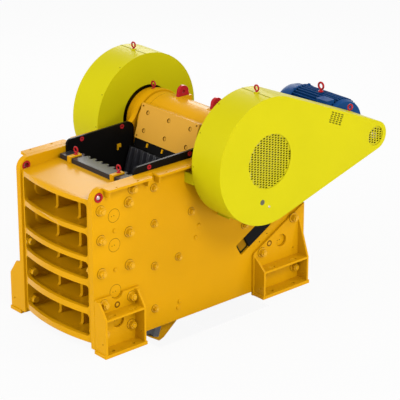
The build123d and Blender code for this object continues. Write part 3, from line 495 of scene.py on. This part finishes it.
boltSizes = {
    "large": {"washer": 0.056, "washerT": 0.010, "across": 0.075, "nut": 0.044, "stud": 0.026, "out": 0.014},
    "medium": {"washer": 0.042, "washerT": 0.008, "across": 0.056, "nut": 0.034, "stud": 0.020, "out": 0.012},
    "small": {"washer": 0.020, "washerT": 0.003, "across": 0.026, "nut": 0.012, "stud": 0.008, "out": 0.004},
    "pin": {"washer": 0.010, "washerT": 0.002, "across": 0.014, "nut": 0.006, "stud": 0.004, "out": 0.002},
    "tiny": {"washer": 0.013, "washerT": 0.002, "across": 0.017, "nut": 0.008, "stud": 0.005, "out": 0.002},
}
# Chamfers that all sizes share, how far the washer's top reaches in, and the turn from one nut to the next
boltTrim = {"washerEdge": 0.0015, "washerTop": 0.45, "studEdge": 0.003, "studSunk": 0.002, "turn": 0.7}


# One fastener standing on z = 0; a bolt head has a low chamfered top in place of the stud's end.
def fastener(size, head=False):
    b = boltSizes[size]
    w, t, n, e = b["washer"], b["washerT"], b["nut"], boltTrim["washerEdge"]
    top = b["across"] * boltTrim["washerTop"]
    shapes = [turned([(w - e, 0), (w, e), (w, t - e), (w - e, t), (top, t)], 28), hexagon(b["across"], n, t)]
    if not head:
        s, o, e = b["stud"], t + n + b["out"], boltTrim["studEdge"]
        shapes.append(turned([(s, t + n - boltTrim["studSunk"]), (s, o - e), (s - e, o)], 16))
    return joined(shapes)


# One fastener at every seat as a single piece, each turned a little further than the one before.
def fasteners(name, size, seats, paint, body, head=False):
    shape = fastener(size, head)
    parts = [placed(shape, seat[:3], seat[3:6], boltTrim["turn"] * k) for k, seat in enumerate(seats)]
    return addPiece(name, joined(parts), paint, body)


# Seats on both side plates from places as (y, z): a point on the outward face at the given x, and its direction
def bothSides(x, places):
    return [(side * x, y, z, side, 0, 0) for side in (1, -1) for y, z in places]


# One shape set down at every seat, as one surface.
def atSeats(shape, seats):
    return joined([placed(shape, seat[:3], seat[3:]) for seat in seats])


plateBolts = {
    "large": [(-1.351, 1.608), (-1.351, 1.275), (-1.351, 0.898), (-0.978, 1.608), (-0.978, 1.271), (-0.978, 0.896),
              (-0.922, 1.745)],
    "medium": [(-0.633, 1.678), (-0.633, 1.271), (-0.633, 0.777), (-0.633, 0.272), (-0.296, 0.789), (-0.110, 1.272),
               (0.673, 0.892)],
    "small": [(0.001, 1.076), (-0.045, 0.946), (-0.282, 0.253), (-0.302, 0.181), (-1.170, 1.335), (-1.168, 0.891)],
}
for size, places in plateBolts.items():
    if size != "small":
        fasteners(size + "PlateNuts", size, bothSides(machine["plateOut"], places),
                  "boltYellow", "frame")
footBolts = [(-1.354, 0.550), (-0.978, 0.538), (-0.988, 0.212), (-1.354, 0.212)]
rearFootBolts = [(0.915, 0.505), (1.401, 0.797), (1.423, 0.182), (0.906, 0.182)]
fasteners("footNuts", "large", bothSides(machine["footFace"], footBolts + rearFootBolts),
          "boltYellow", "frame")
dome = turned([(0.024, 0), (0.024, 0.006), (0.021, 0.011), (0.013, 0.014), (0.004, 0.015)], 20)
addPiece("plateDomes", atSeats(dome, bothSides(machine["plateOut"], plateBolts["small"])),
         "frameYellow", "frame")
print("bolts made")

# Flush plugs: a low disc inside a thin ring of painted shade where it parts from its bore, with two small jacking holes
# drawn as dark discs of painted shade
plug = {"r": 0.072, "proud": 0.0015, "shoulder": 0.6, "edge": 0.002, "ring": 0.0048, "ringT": 0.0004,
        "holeR": 0.006, "holeProud": 0.0003, "holesAt": (0.0, -0.033), "holesRise": 0.08}
plugPlaces = [(-1.174, 1.507), (-1.174, 1.173), (-1.172, 0.643), (-1.160, 0.306), (1.218, 0.565)]
plugSeats = bothSides(machine["plateOut"], plugPlaces)
r, p = plug["r"], plug["proud"]
addPiece("platePlugs", atSeats(turned([(r, 0), (r, p * plug["shoulder"]), (r - plug["edge"], p)], 48), plugSeats),
         "frameYellow", "frame")
holeSeats = [(x, y + dy, z + dy * plug["holesRise"], *out) for x, y, z, *out in plugSeats for dy in plug["holesAt"]]
gaps = atSeats(flatRing(r, plug["ring"], plug["ringT"], 48), plugSeats)
holes = atSeats(turned([(plug["holeR"], 0), (plug["holeR"], p + plug["holeProud"])], 12), holeSeats)
addPiece("plugGapShade", joined([gaps, holes]), "gapShade", "frame")

# Round eyebolts in place of the flat lifting eyes: torus, flared collar and shank
eye = {"major": 0.030, "minor": 0.0095, "up": 0.053, "collar": 0.024, "columns": 40}
# Each place has the direction its ring stands up in and how much larger than the small ones it is
eyeAt = [((1.029, 0.492, 2.580), 90.0, 1.0), ((-1.029, 0.492, 2.580), 90.0, 1.0),
         ((0.680, 0.492, 2.200), 90.0, 1.0), ((-0.680, 0.492, 2.200), 90.0, 1.0),
         ((0.368, -0.867, 1.824), 90.0, 1.0), ((-0.368, -0.867, 1.824), 90.0, 1.0),
         ((0.371, 2.117, 2.067), 90.0, 1.3), ((1.029, 1.904, 2.0422), 66.98, 1.0)]
k = eye["collar"]
stemLine = np.array([(k, 0), (k, 0.005), (k - 0.003, 0.008), (0.013, 0.012), (0.010, 0.018), (0.0105, 0.026)])
eyeShapes = []
for place, tilt, grow in eyeAt:
    up = np.array((0, cos(radians(tilt)), sin(radians(tilt))))
    ring = torus(eye["major"] * grow, eye["minor"] * grow, eye["columns"])
    eyeShapes.append(placed(ring, np.array(place) + up * eye["up"] * grow, (0, up[2], -up[1])))
    eyeShapes.append(placed(turned(stemLine * grow, 24), place, up))
eyePiece = addPiece("eyebolts", joined(eyeShapes), "liftingRed", "frame")
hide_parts("lifting_eyes")
print("eyebolts made")


# Perforated sheets: discs with short slots, every second column half a pitch higher, cut by a constrained
# triangulation
screens = {"pitchY": 0.042, "pitchZ": 0.0275, "holeR": 0.0082, "halfSlot": 0.0058, "sides": 12, "reach": 30,
           "thick": 0.003, "back": 0.0085, "rimSides": 96, "outlineR": (0.325, 0.128), "shownR": (0.306, 0.113)}


# The lattice column and the slot's middle nearest to each point.
def nearestSlot(points):
    column = np.round(points[:, 0] / screens["pitchY"])
    raised = (column % 2) * screens["pitchZ"] / 2
    z = np.round((points[:, 1] - raised) / screens["pitchZ"]) * screens["pitchZ"] + raised
    return np.stack([column * screens["pitchY"], z], -1)


# A disc with the slots whose middles lie inside its shown radius: slot outlines are circles pulled apart along Y,
# and a triangle is left out where its middle falls inside a slot.
def perforated(outlineR, shownR, centre):
    s, n = screens, screens["rimSides"]
    t = np.arange(n) * 2 * pi / n
    outline = outlineR * np.stack([np.cos(t), np.sin(t)], -1)
    j = np.arange(-s["reach"], s["reach"] + 1)
    y, z = np.meshgrid(j * s["pitchY"], j * s["pitchZ"], indexing="ij")
    holes = np.stack([y, z + (j % 2)[:, None] * s["pitchZ"] / 2], -1).reshape(-1, 2)
    holes = holes[np.hypot(holes[:, 0], holes[:, 1]) < shownR - s["holeR"]]
    t = np.arange(s["sides"]) * 2 * pi / s["sides"]
    apart = s["halfSlot"] * np.sign(np.round(np.cos(t), 6))
    rim = np.stack([s["holeR"] * np.cos(t) + apart, s["holeR"] * np.sin(t)], -1)
    points = np.vstack([outline, (holes[:, None, :] + rim[None]).reshape(-1, 2)])
    first = np.arange(len(holes))[:, None] * s["sides"] + n
    a = np.arange(s["sides"])[None, :]
    slotEdges = np.stack([first + a, first + (a + 1) % s["sides"]], -1).reshape(-1, 2)
    ring = np.stack([np.arange(n), (np.arange(n) + 1) % n], -1)
    flat = delaunay_2d_cdt([Vector(p) for p in points.tolist()], np.vstack([ring, slotEdges]).tolist(), [], 1, 1e-7)
    place, faces = np.array([(v.x, v.y) for v in flat[0]]), np.array([list(f) for f in flat[2]])
    middle = place[faces].mean(axis=1)
    slot = nearestSlot(middle)
    off = np.abs(middle - slot)
    inSlot = np.hypot(np.maximum(off[:, 0] - s["halfSlot"], 0), off[:, 1]) < s["holeR"]
    inSlot &= np.hypot(slot[:, 0], slot[:, 1]) < shownR - s["holeR"]
    full = np.column_stack([np.full(len(place), centre[0]), place + np.array(centre[1:])])
    return full, faces[~inSlot].tolist()


# Perforated discs given a wall's thickness, as one piece that stands for the plain disc.
def screenPiece(name, shapes, node):
    piece = addPiece(name, joined(shapes), "screenYellow", "frame")
    wall = piece.modifiers.new("wall", "SOLIDIFY")
    wall.thickness, wall.offset = screens["thick"], -1.0
    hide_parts(node)


sheetX = machine["drumOut"] - screens["back"]
shaftPlace, motorPlace = (machine["shaftY"], machine["shaftZ"]), (machine["motorY"], machine["motorZ"])
sheets = [perforated(*radii, (sheetX, *place)) for *radii, place in
          zip(screens["outlineR"], screens["shownR"], (shaftPlace, motorPlace))]
screenPiece("beltScreens", sheets, "belt_guard_screens")
wheelSheet = perforated(screens["outlineR"][0], screens["shownR"][0], (screens["thick"] - sheetX, *shaftPlace))
screenPiece("wheelScreen", [wheelSheet], "flywheel_guard_screen")
print("screens made")

# Small parts: heads and pads in the front cells, marks on the guards, painted shade at seams and holes, clips and
# screws

# A rectangle with rounded corners as a closed outline: a quarter circle about each corner's centre in turn.
def roundedBox(u0, u1, v0, v1, r, steps=5):
    t = (np.arange(4)[:, None] * pi / 2 + np.linspace(0, pi / 2, steps)[None]).ravel()
    u = np.repeat([u1 - r, u0 + r, u0 + r, u1 - r], steps)
    v = np.repeat([v1 - r, v1 - r, v0 + r, v0 + r], steps)
    return np.stack([u + r * np.cos(t), v + r * np.sin(t)], -1)


# Outlines of equal length laid over each other, each at its own height.
def stacked(levels, closed=False):
    points = np.vstack([np.column_stack([outline, np.full(len(outline), h)]) for outline, h in levels])
    return points, ringFaces(len(levels), len(levels[0][0]), closed)


# Heads and round pads on the inner faces of the casting's end walls
cells = {"wall": 0.549, "padR": 0.130, "padT": 0.022, "edgeR": 0.008}
cellHeads = [(-1.369, 0.198), (-1.368, 0.528), (-1.386, 0.897)]
cellPads = [(-1.174, 1.507), (-1.174, 1.173)]


# Seats on the inner faces of both end walls
def inward(places):
    return [(*seat[:3], -seat[3], 0, 0) for seat in bothSides(cells["wall"], places)]


fasteners("cellHeads", "large", inward(cellHeads), "boltYellow", "frame", head=True)
r, t, e = cells["padR"], cells["padT"], cells["edgeR"]
padLine = [(r + e, 0), (r + e * 0.3, e * 0.3), (r, e), (r, t - e), (r - e * 0.3, t - e * 0.3), (r - e, t)]
addPiece("cellPads", atSeats(turned(padLine, 56), inward(cellPads)), "castYellow", "frame", angle=50)

# Polished domes inside the red lifting bushes
bush = {"y": -1.370, "z": 1.757, "r": 0.0325, "dome": 0.016, "back": 0.010, "sunk": 0.02, "shown": 0.97}
s = np.linspace(0, pi / 2 * bush["shown"], 8)
domeLine = [(bush["r"], -bush["sunk"]), *np.stack([bush["r"] * np.cos(s), bush["dome"] * np.sin(s)], -1).tolist()]
bushSeats = bothSides(machine["plateOut"] - bush["back"], [(bush["y"], bush["z"])])
addPiece("bushDomes", atSeats(turned(domeLine, 32), bushSeats), "turnedSteel", "frame")

# The head plate on the swing jaw: shaded walls in its bolt recesses, and a screw at each corner
jaw = {"lean": 18.2, "tipY": -0.018, "tipZ": 1.677, "face": 0.025, "screwX": 0.450, "screwsAt": (0.142, 0.482),
       "recessX": 0.358, "recessesAt": (0.218, 0.424), "recessR": 0.0258, "recessT": 0.0115, "lip": 0.004,
       "sunk": 0.0004}
lean = radians(jaw["lean"])


# A place on the swing jaw's line, along it (up is negative) and behind it.
def jawPoint(along, behind):
    return (jaw["tipY"] - sin(lean) * along + cos(lean) * behind, jaw["tipZ"] - cos(lean) * along - sin(lean) * behind)


jawOut = (0, -cos(lean), sin(lean))
plateScrews = [(side * jaw["screwX"], *jawPoint(-a, jaw["face"]), *jawOut)
               for side in (-1, 1) for a in jaw["screwsAt"]]
fasteners("headPlateScrews", "pin", plateScrews, "gapShade", "swing_jaw", head=True)
r, t, lip, sunk = jaw["recessR"], jaw["recessT"], jaw["lip"], jaw["sunk"]
recessLine = [(r, -t), (r, -sunk), (r - lip, -2 * sunk), (r - lip, -t)]
recesses = [placed(turned(recessLine, 32, True), (side * jaw["recessX"], *jawPoint(-a, jaw["face"])), jawOut)
            for side in (-1, 0, 1) for a in jaw["recessesAt"]]
addPiece("recessWalls", joined(recesses), "gapShade", "swing_jaw")

# Painted shade: dark rings in the gaps round the barrel's ends
barrel = {"y": 0.492, "z": 1.847, "half": 0.483, "r": 0.3398, "wide": 0.004, "deep": 0.006}
r, w, d = barrel["r"], barrel["wide"], barrel["deep"]
seam = turned([(r, 0), (r, w), (r - d, w), (r - d, 0)], 96, True)
addPiece("barrelGapShade", joined([placed(seam, (side * barrel["half"], barrel["y"], barrel["z"]), (side, 0, 0))
                                for side in (1, -1)]), "gapShade", "swing_jaw")

# Painted shade: thin dark rings round the washers, where they meet the plates
gap = {"wide": 0.0035, "thick": 0.0004, "off": 0.0003}
gapSeats = {"large": bothSides(machine["plateOut"], plateBolts["large"])
            + bothSides(machine["footFace"], footBolts + rearFootBolts),
            "medium": bothSides(machine["plateOut"], plateBolts["medium"])}
gapShapes = [atSeats(flatRing(boltSizes[size]["washer"] + gap["off"], gap["wide"], gap["thick"]), seats)
             for size, seats in gapSeats.items()]
addPiece("washerShadeRings", joined(gapShapes), "gapShade", "frame")

# Toggle slots: painted shade in the gap round the spacer blocks, and two tapped holes below each slot drawn as dark
# discs of painted shade
slot = {"y": 0.5925, "z": 0.6035, "angle": 29.5, "face": 0.635, "start": 0.002, "end": 0.139, "half": 0.0755,
        "corner": 0.020, "wide": 0.024, "narrow": 0.006, "thick": 0.0012}
tapped = [(0.909, 0.624), (1.022, 0.693)]
c, s = cos(radians(slot["angle"])), sin(radians(slot["angle"]))
thick, wide, narrow = slot["thick"], slot["wide"], slot["narrow"]
slotOuter = roundedBox(slot["start"], slot["end"], -slot["half"], slot["half"], slot["corner"])
slotInner = roundedBox(slot["start"] + wide, slot["end"] - narrow, wide - slot["half"], slot["half"] - narrow,
                       slot["corner"])
slotShapes = []
for side in (1, -1):
    rings = []
    for outline, h in ((slotOuter, 0), (slotOuter, thick), (slotInner, thick), (slotInner, 0)):
        yz = np.array([slot["y"], slot["z"]]) + outline @ np.array([[c, s], [-s, c]])
        rings.append(((yz * np.array([side, 1]))[::side], h))
    slotShapes.append(placed(stacked(rings, True), (side * slot["face"], 0, 0), (side, 0, 0)))
addPiece("spacerGapShade", joined(slotShapes), "slotShade", "frame")
tappedHole = turned([(0.0085, 0), (0.0085, 0.0006), (0.002, 0.0008)], 14)
addPiece("tappedHoleShade", atSeats(tappedHole, bothSides(machine["plateOut"], tapped)),
         "gapShade", "frame")

# Belt guard: rows of short vent slots along its upper edge drawn as thin dark plates of painted shade, a rubber plug, a
# bright screw and the sheave's hub
vent = {"y": 1.418, "z": 2.209, "tilt": -23.6, "rows": 6, "rowPitch": 0.0225, "pitch": 0.0535, "count": 4,
        "start": 0.008, "shift": 0.12, "half": 0.0190, "r": 0.0056, "proud": 0.0006}
c, s = cos(radians(vent["tilt"])), sin(radians(vent["tilt"]))
dash = roundedBox(-vent["half"], vent["half"], -vent["r"], vent["r"], vent["r"] * 0.98, 4)
ventShapes = []
for row in range(vent["rows"]):
    for k in range(vent["count"]):
        along = vent["start"] + vent["pitch"] * (k + vent["shift"] * (row % 2))
        outline = (dash + np.array([along, -vent["rowPitch"] * row])) @ np.array([[c, s], [-s, c]])
        outline += np.array([vent["y"], vent["z"]])
        ventShapes.append(placed(stacked([(outline, 0), (outline, vent["proud"])]), (machine["drumOut"], 0, 0),
                                 (1, 0, 0)))
addPiece("ventSlotShade", joined(ventShapes), "slotShade", "frame")
guardMarks = {"plug": (0.387, 1.419), "screw": (0.489, 1.345), "hubX": 1.215, "hubR": 0.046}
addPiece("guardPlug", placed(turned([(0.030, 0), (0.030, 0.003), (0.027, 0.005), (0.012, 0.0055)], 32),
                             (machine["drumOut"], *guardMarks["plug"]), (1, 0, 0)), "plugGrey", "frame")
addPiece("guardScrew", placed(turned([(0.013, 0), (0.013, 0.002), (0.010, 0.005), (0.004, 0.006)], 24),
                              (machine["drumOut"], *guardMarks["screw"]), (1, 0, 0)),
         "turnedSteel", "frame")
h = guardMarks["hubR"]
addPiece("sheaveHub", placed(turned([(h, 0), (h, 0.012), (h - 0.003, 0.015), (0.014, 0.015), (0.012, 0.009)], 40),
                             (guardMarks["hubX"], *motorPlace), (1, 0, 0)),
         "turnedSteel", "frame")

# Drum bands: a screw every 30 degrees near the inner edge, all round on the left and on the front half on the
# right but not at the top, where each band has its lapped joint
band = {"x": 0.832, "step": 30, "top": 90, "low": 270, "lap": 90.5, "lapT": 0.0022, "lapW": 0.012, "sunk": 0.001,
        "inset": 0.002, "corner": 0.001}


# A place and outward direction on a drum's band, at x and an angle from +Y towards +Z.
def onBand(x, angle):
    c, s = cos(radians(angle)), sin(radians(angle))
    return (x, machine["shaftY"] + machine["drumR"] * c, machine["shaftZ"] + machine["drumR"] * s), (0, c, s)


# Screws and lapped joints are in a darker copy of the guard yellow: painted shade
bandScrew = turned([(0.0085, -0.001), (0.0085, 0.002), (0.003, 0.0035)], 12)
spots = [(-band["x"], a) for a in range(0, 360, band["step"])]
spots += [(band["x"], a) for a in range(band["top"], band["low"] + 1, band["step"])]
addPiece("bandScrews", joined([placed(bandScrew, *onBand(*spot)) for spot in spots if spot[1] != band["top"]]),
         "guardShade", "frame")
lapShapes = []
for side in (1, -1):
    place, out = onBand(side * machine["wheelMid"], band["lap"])
    half = (machine["drumOut"] - machine["drumIn"]) / 2 - band["inset"]
    outline = roundedBox(-half, half, -band["lapW"] / 2, band["lapW"] / 2, band["corner"], 2)
    lapShapes.append(placed(stacked([(outline, -band["sunk"]), (outline, band["lapT"])]), place, out))
addPiece("bandLaps", joined(lapShapes), "guardShade", "frame")

# Yellow bosses under the guards' eyebolts
bossLine = [(0.034, -0.004), (0.034, 0.006), (0.031, 0.009), (0.024, 0.010)]
addPiece("eyeBosses", joined([placed(turned(bossLine, 32), place, (0, cos(radians(tilt)), sin(radians(tilt))))
                              for place, tilt, grow in eyeAt if abs(place[0]) > 1.0]),
         "guardYellow", "frame")

# A hook clip on the inner face of the left cheek plate
clip = {"x": 0.562, "t": 0.014, "edge": 0.003}
hook = np.array([(-0.148, 1.644), (-0.128, 1.644), (-0.128, 1.672), (-0.094, 1.672), (-0.094, 1.714),
                 (-0.148, 1.714)])
addPiece("cheekClip", placed(stacked([(hook, 0), (hook, clip["t"])]), (-clip["x"], 0, 0), (1, 0, 0)),
         "boltYellow", "frame", bevel=clip["edge"])
print("small parts made")

# Motor: a raised ring where the fan cover meets the body, its grille, and the end shield's bolts
motor = {"joint": 0.060, "r": 0.300, "proud": 0.007, "sunk": 0.004, "ears": 8, "fanEnd": -0.150,
         "grille": (0.045, 0.075, 0.105, 0.135, 0.165, 0.195), "slit": 0.012, "slitT": 0.0008,
         "spokes": 12, "spokeFrom": 0.030, "spokeTo": 0.215, "spokeHalf": 0.006, "spokeT": 0.002,
         "shield": 0.700, "boltR": 0.272, "bolts": 8}


# Places on a circle round the motor's axis at one x, facing along it, the first one half a step round.
def roundMotor(x, radius, count, way):
    t = (np.arange(count) + 0.5) * 2 * pi / count
    return [(x, motorPlace[0] + radius * cos(a), motorPlace[1] + radius * sin(a), way, 0, 0) for a in t]


outer, inner = motor["r"] + motor["proud"], motor["r"] - motor["sunk"]
jointRing = turned([(outer, -0.008), (outer, 0.008), (inner, 0.010), (inner, -0.010)], 96, True)
ears = atSeats(turned([(0.016, -0.012), (0.016, 0.010), (0.013, 0.013)], 16),
               roundMotor(motor["joint"], motor["r"] + motor["sunk"], motor["ears"], 1))
addPiece("motorJoint", joined([placed(jointRing, (motor["joint"], *motorPlace), (1, 0, 0)), ears]),
         "motorBlue", "frame")
# The grille's slits are thin black rings on the fan cover's end: painted shade for its openings
slits = [placed(flatRing(r, motor["slit"], motor["slitT"], 64), (motor["fanEnd"], *motorPlace), (-1, 0, 0))
         for r in motor["grille"]]
addPiece("grilleSlitShade", joined(slits), "blackPaint", "frame")
half, thick = motor["spokeHalf"], motor["spokeT"]
outline = roundedBox(motor["spokeFrom"], motor["spokeTo"], -half, half, thick, 3)
spoke = stacked([(outline, 0), (outline, thick)])
spokes = [placed(spoke, (motor["fanEnd"], *motorPlace), (-1, 0, 0), a)
          for a in np.arange(motor["spokes"]) * 2 * pi / motor["spokes"]]
addPiece("grilleSpokes", joined(spokes), "motorBlue", "frame")
fasteners("shieldBolts", "tiny", roundMotor(motor["shield"], motor["boltR"], motor["bolts"], 1),
          "motorBlue", "frame", head=True)
print("motor dressed")

# Small stopped holes in the feet: a shaded ring with a yellow stopper in its middle
stop = {"ringR": 0.0370, "discR": 0.0200, "places": [(-1.173, 0.497), (1.034, 0.579)]}
r, q = stop["ringR"], stop["discR"]
for name, paint, columns, line in (
        ("stopRings", "gapShade", 40, [(r, -0.001), (r, 0.0006), (r - 0.002, 0.0009), (q, 0.0009)]),
        ("stopDiscs", "boltYellow", 32, [(q, 0), (q, 0.0014), (q - 0.004, 0.0022)])):
    addPiece(name, atSeats(turned(line, columns), bothSides(machine["footFace"], stop["places"])),
             paint, "frame")
print("stopped holes made")

# Floor with the open pit under the machine, world and lamps

stage = {"half": 30.0, "pitX": 1.0, "pitFront": -0.86, "pitRear": 0.76, "pitDeep": 0.7,
         "tone": 0.8, "rough": 0.9, "glowShare": 0.92}


# The floor is a grid of three by three panels whose middle one is sunk as the pit's bottom, with four walls.
def floorMesh():
    half, pitX, depth = stage["half"], stage["pitX"], stage["pitDeep"]
    x, y = np.meshgrid([-half, -pitX, pitX, half], [-half, stage["pitFront"], stage["pitRear"], half], indexing="ij")
    top = np.stack([x, y, np.zeros_like(x)], -1).reshape(-1, 3)
    rim, low = [5, 6, 10, 9], [16, 17, 18, 19]
    faces = [(i * 4 + j, (i + 1) * 4 + j, (i + 1) * 4 + j + 1, i * 4 + j + 1)
             for i in range(3) for j in range(3) if (i, j) != (1, 1)]
    faces += [(rim[k], rim[(k + 1) % 4], low[(k + 1) % 4], low[k]) for k in range(4)] + [tuple(low)]
    mesh = bpy.data.meshes.new("floor")
    mesh.from_pydata(np.vstack([top, top[rim] - np.array([0, 0, depth])]).tolist(), [], faces)
    return mesh


# The camera and reflections see most of the floor as plain white; all other light falls on a matt surface.
def makeStage():
    mesh = floorMesh()
    floor = bpy.data.objects.new("floor", mesh)
    bpy.context.scene.collection.objects.link(floor)
    mat, tree, shader = newMaterial("paleFloor")
    link = tree.links.new
    shader.inputs["Base Color"].default_value = (*[stage["tone"]] * 3, 1)
    shader.inputs["Roughness"].default_value = stage["rough"]
    glow = tree.nodes.new("ShaderNodeEmission")
    glow.inputs["Color"].default_value = (1, 1, 1, 1)
    glow.inputs["Strength"].default_value = 1.0
    share = feed(tree, mathNode(tree, "MULTIPLY", stage["glowShare"]), directlySeen(tree))
    mix = feed(tree, tree.nodes.new("ShaderNodeMixShader"), share, shader.outputs[0], glow.outputs[0])
    link(mix, tree.nodes["Material Output"].inputs["Surface"])
    mesh.materials.append(mat)


makeStage()

# The white world's strength for light that isn't seen directly, where the lamps aim, and each lamp's size in
# metres, power in watts and place
worldLevel, lampAim = 0.5, (0.0, 0.3, 1.2)
lamps = {
    "key": (6.0, 1250.0, (17.0, -4.0, 15.0)),
    "low": (6.0, 440.0, (18.0, 2.0, 3.2)),
    "side": (3.0, 480.0, (11.0, 12.5, 12.0)),
    "front": (10.0, 1200.0, (-4.0, -17.0, 9.0)),
    "rim": (4.0, 150.0, (-7.2, 6.2, 5.2)),
}


# A white world that glossy and camera rays see at full strength, and five large soft lamps.
def makeLight():
    world = bpy.data.worlds.new("studio")
    bpy.context.scene.world = world
    world.use_nodes = True
    tree = world.node_tree
    background = tree.nodes["Background"]
    background.inputs["Color"].default_value = (1, 1, 1, 1)
    level = feed(tree, rangeNode(tree, target=(worldLevel, 1.0)), directlySeen(tree))
    tree.links.new(level, background.inputs["Strength"])
    for name, (size, power, place) in lamps.items():
        lamp = bpy.data.lights.new(name + "Lamp", "AREA")
        lamp.size, lamp.energy = size, power
        lampObject = bpy.data.objects.new(name + "Lamp", lamp)
        lampObject.matrix_world = aimed(np.array(place) - np.array(lampAim), place)
        bpy.context.scene.collection.objects.link(lampObject)


makeLight()
print("stage and light set")
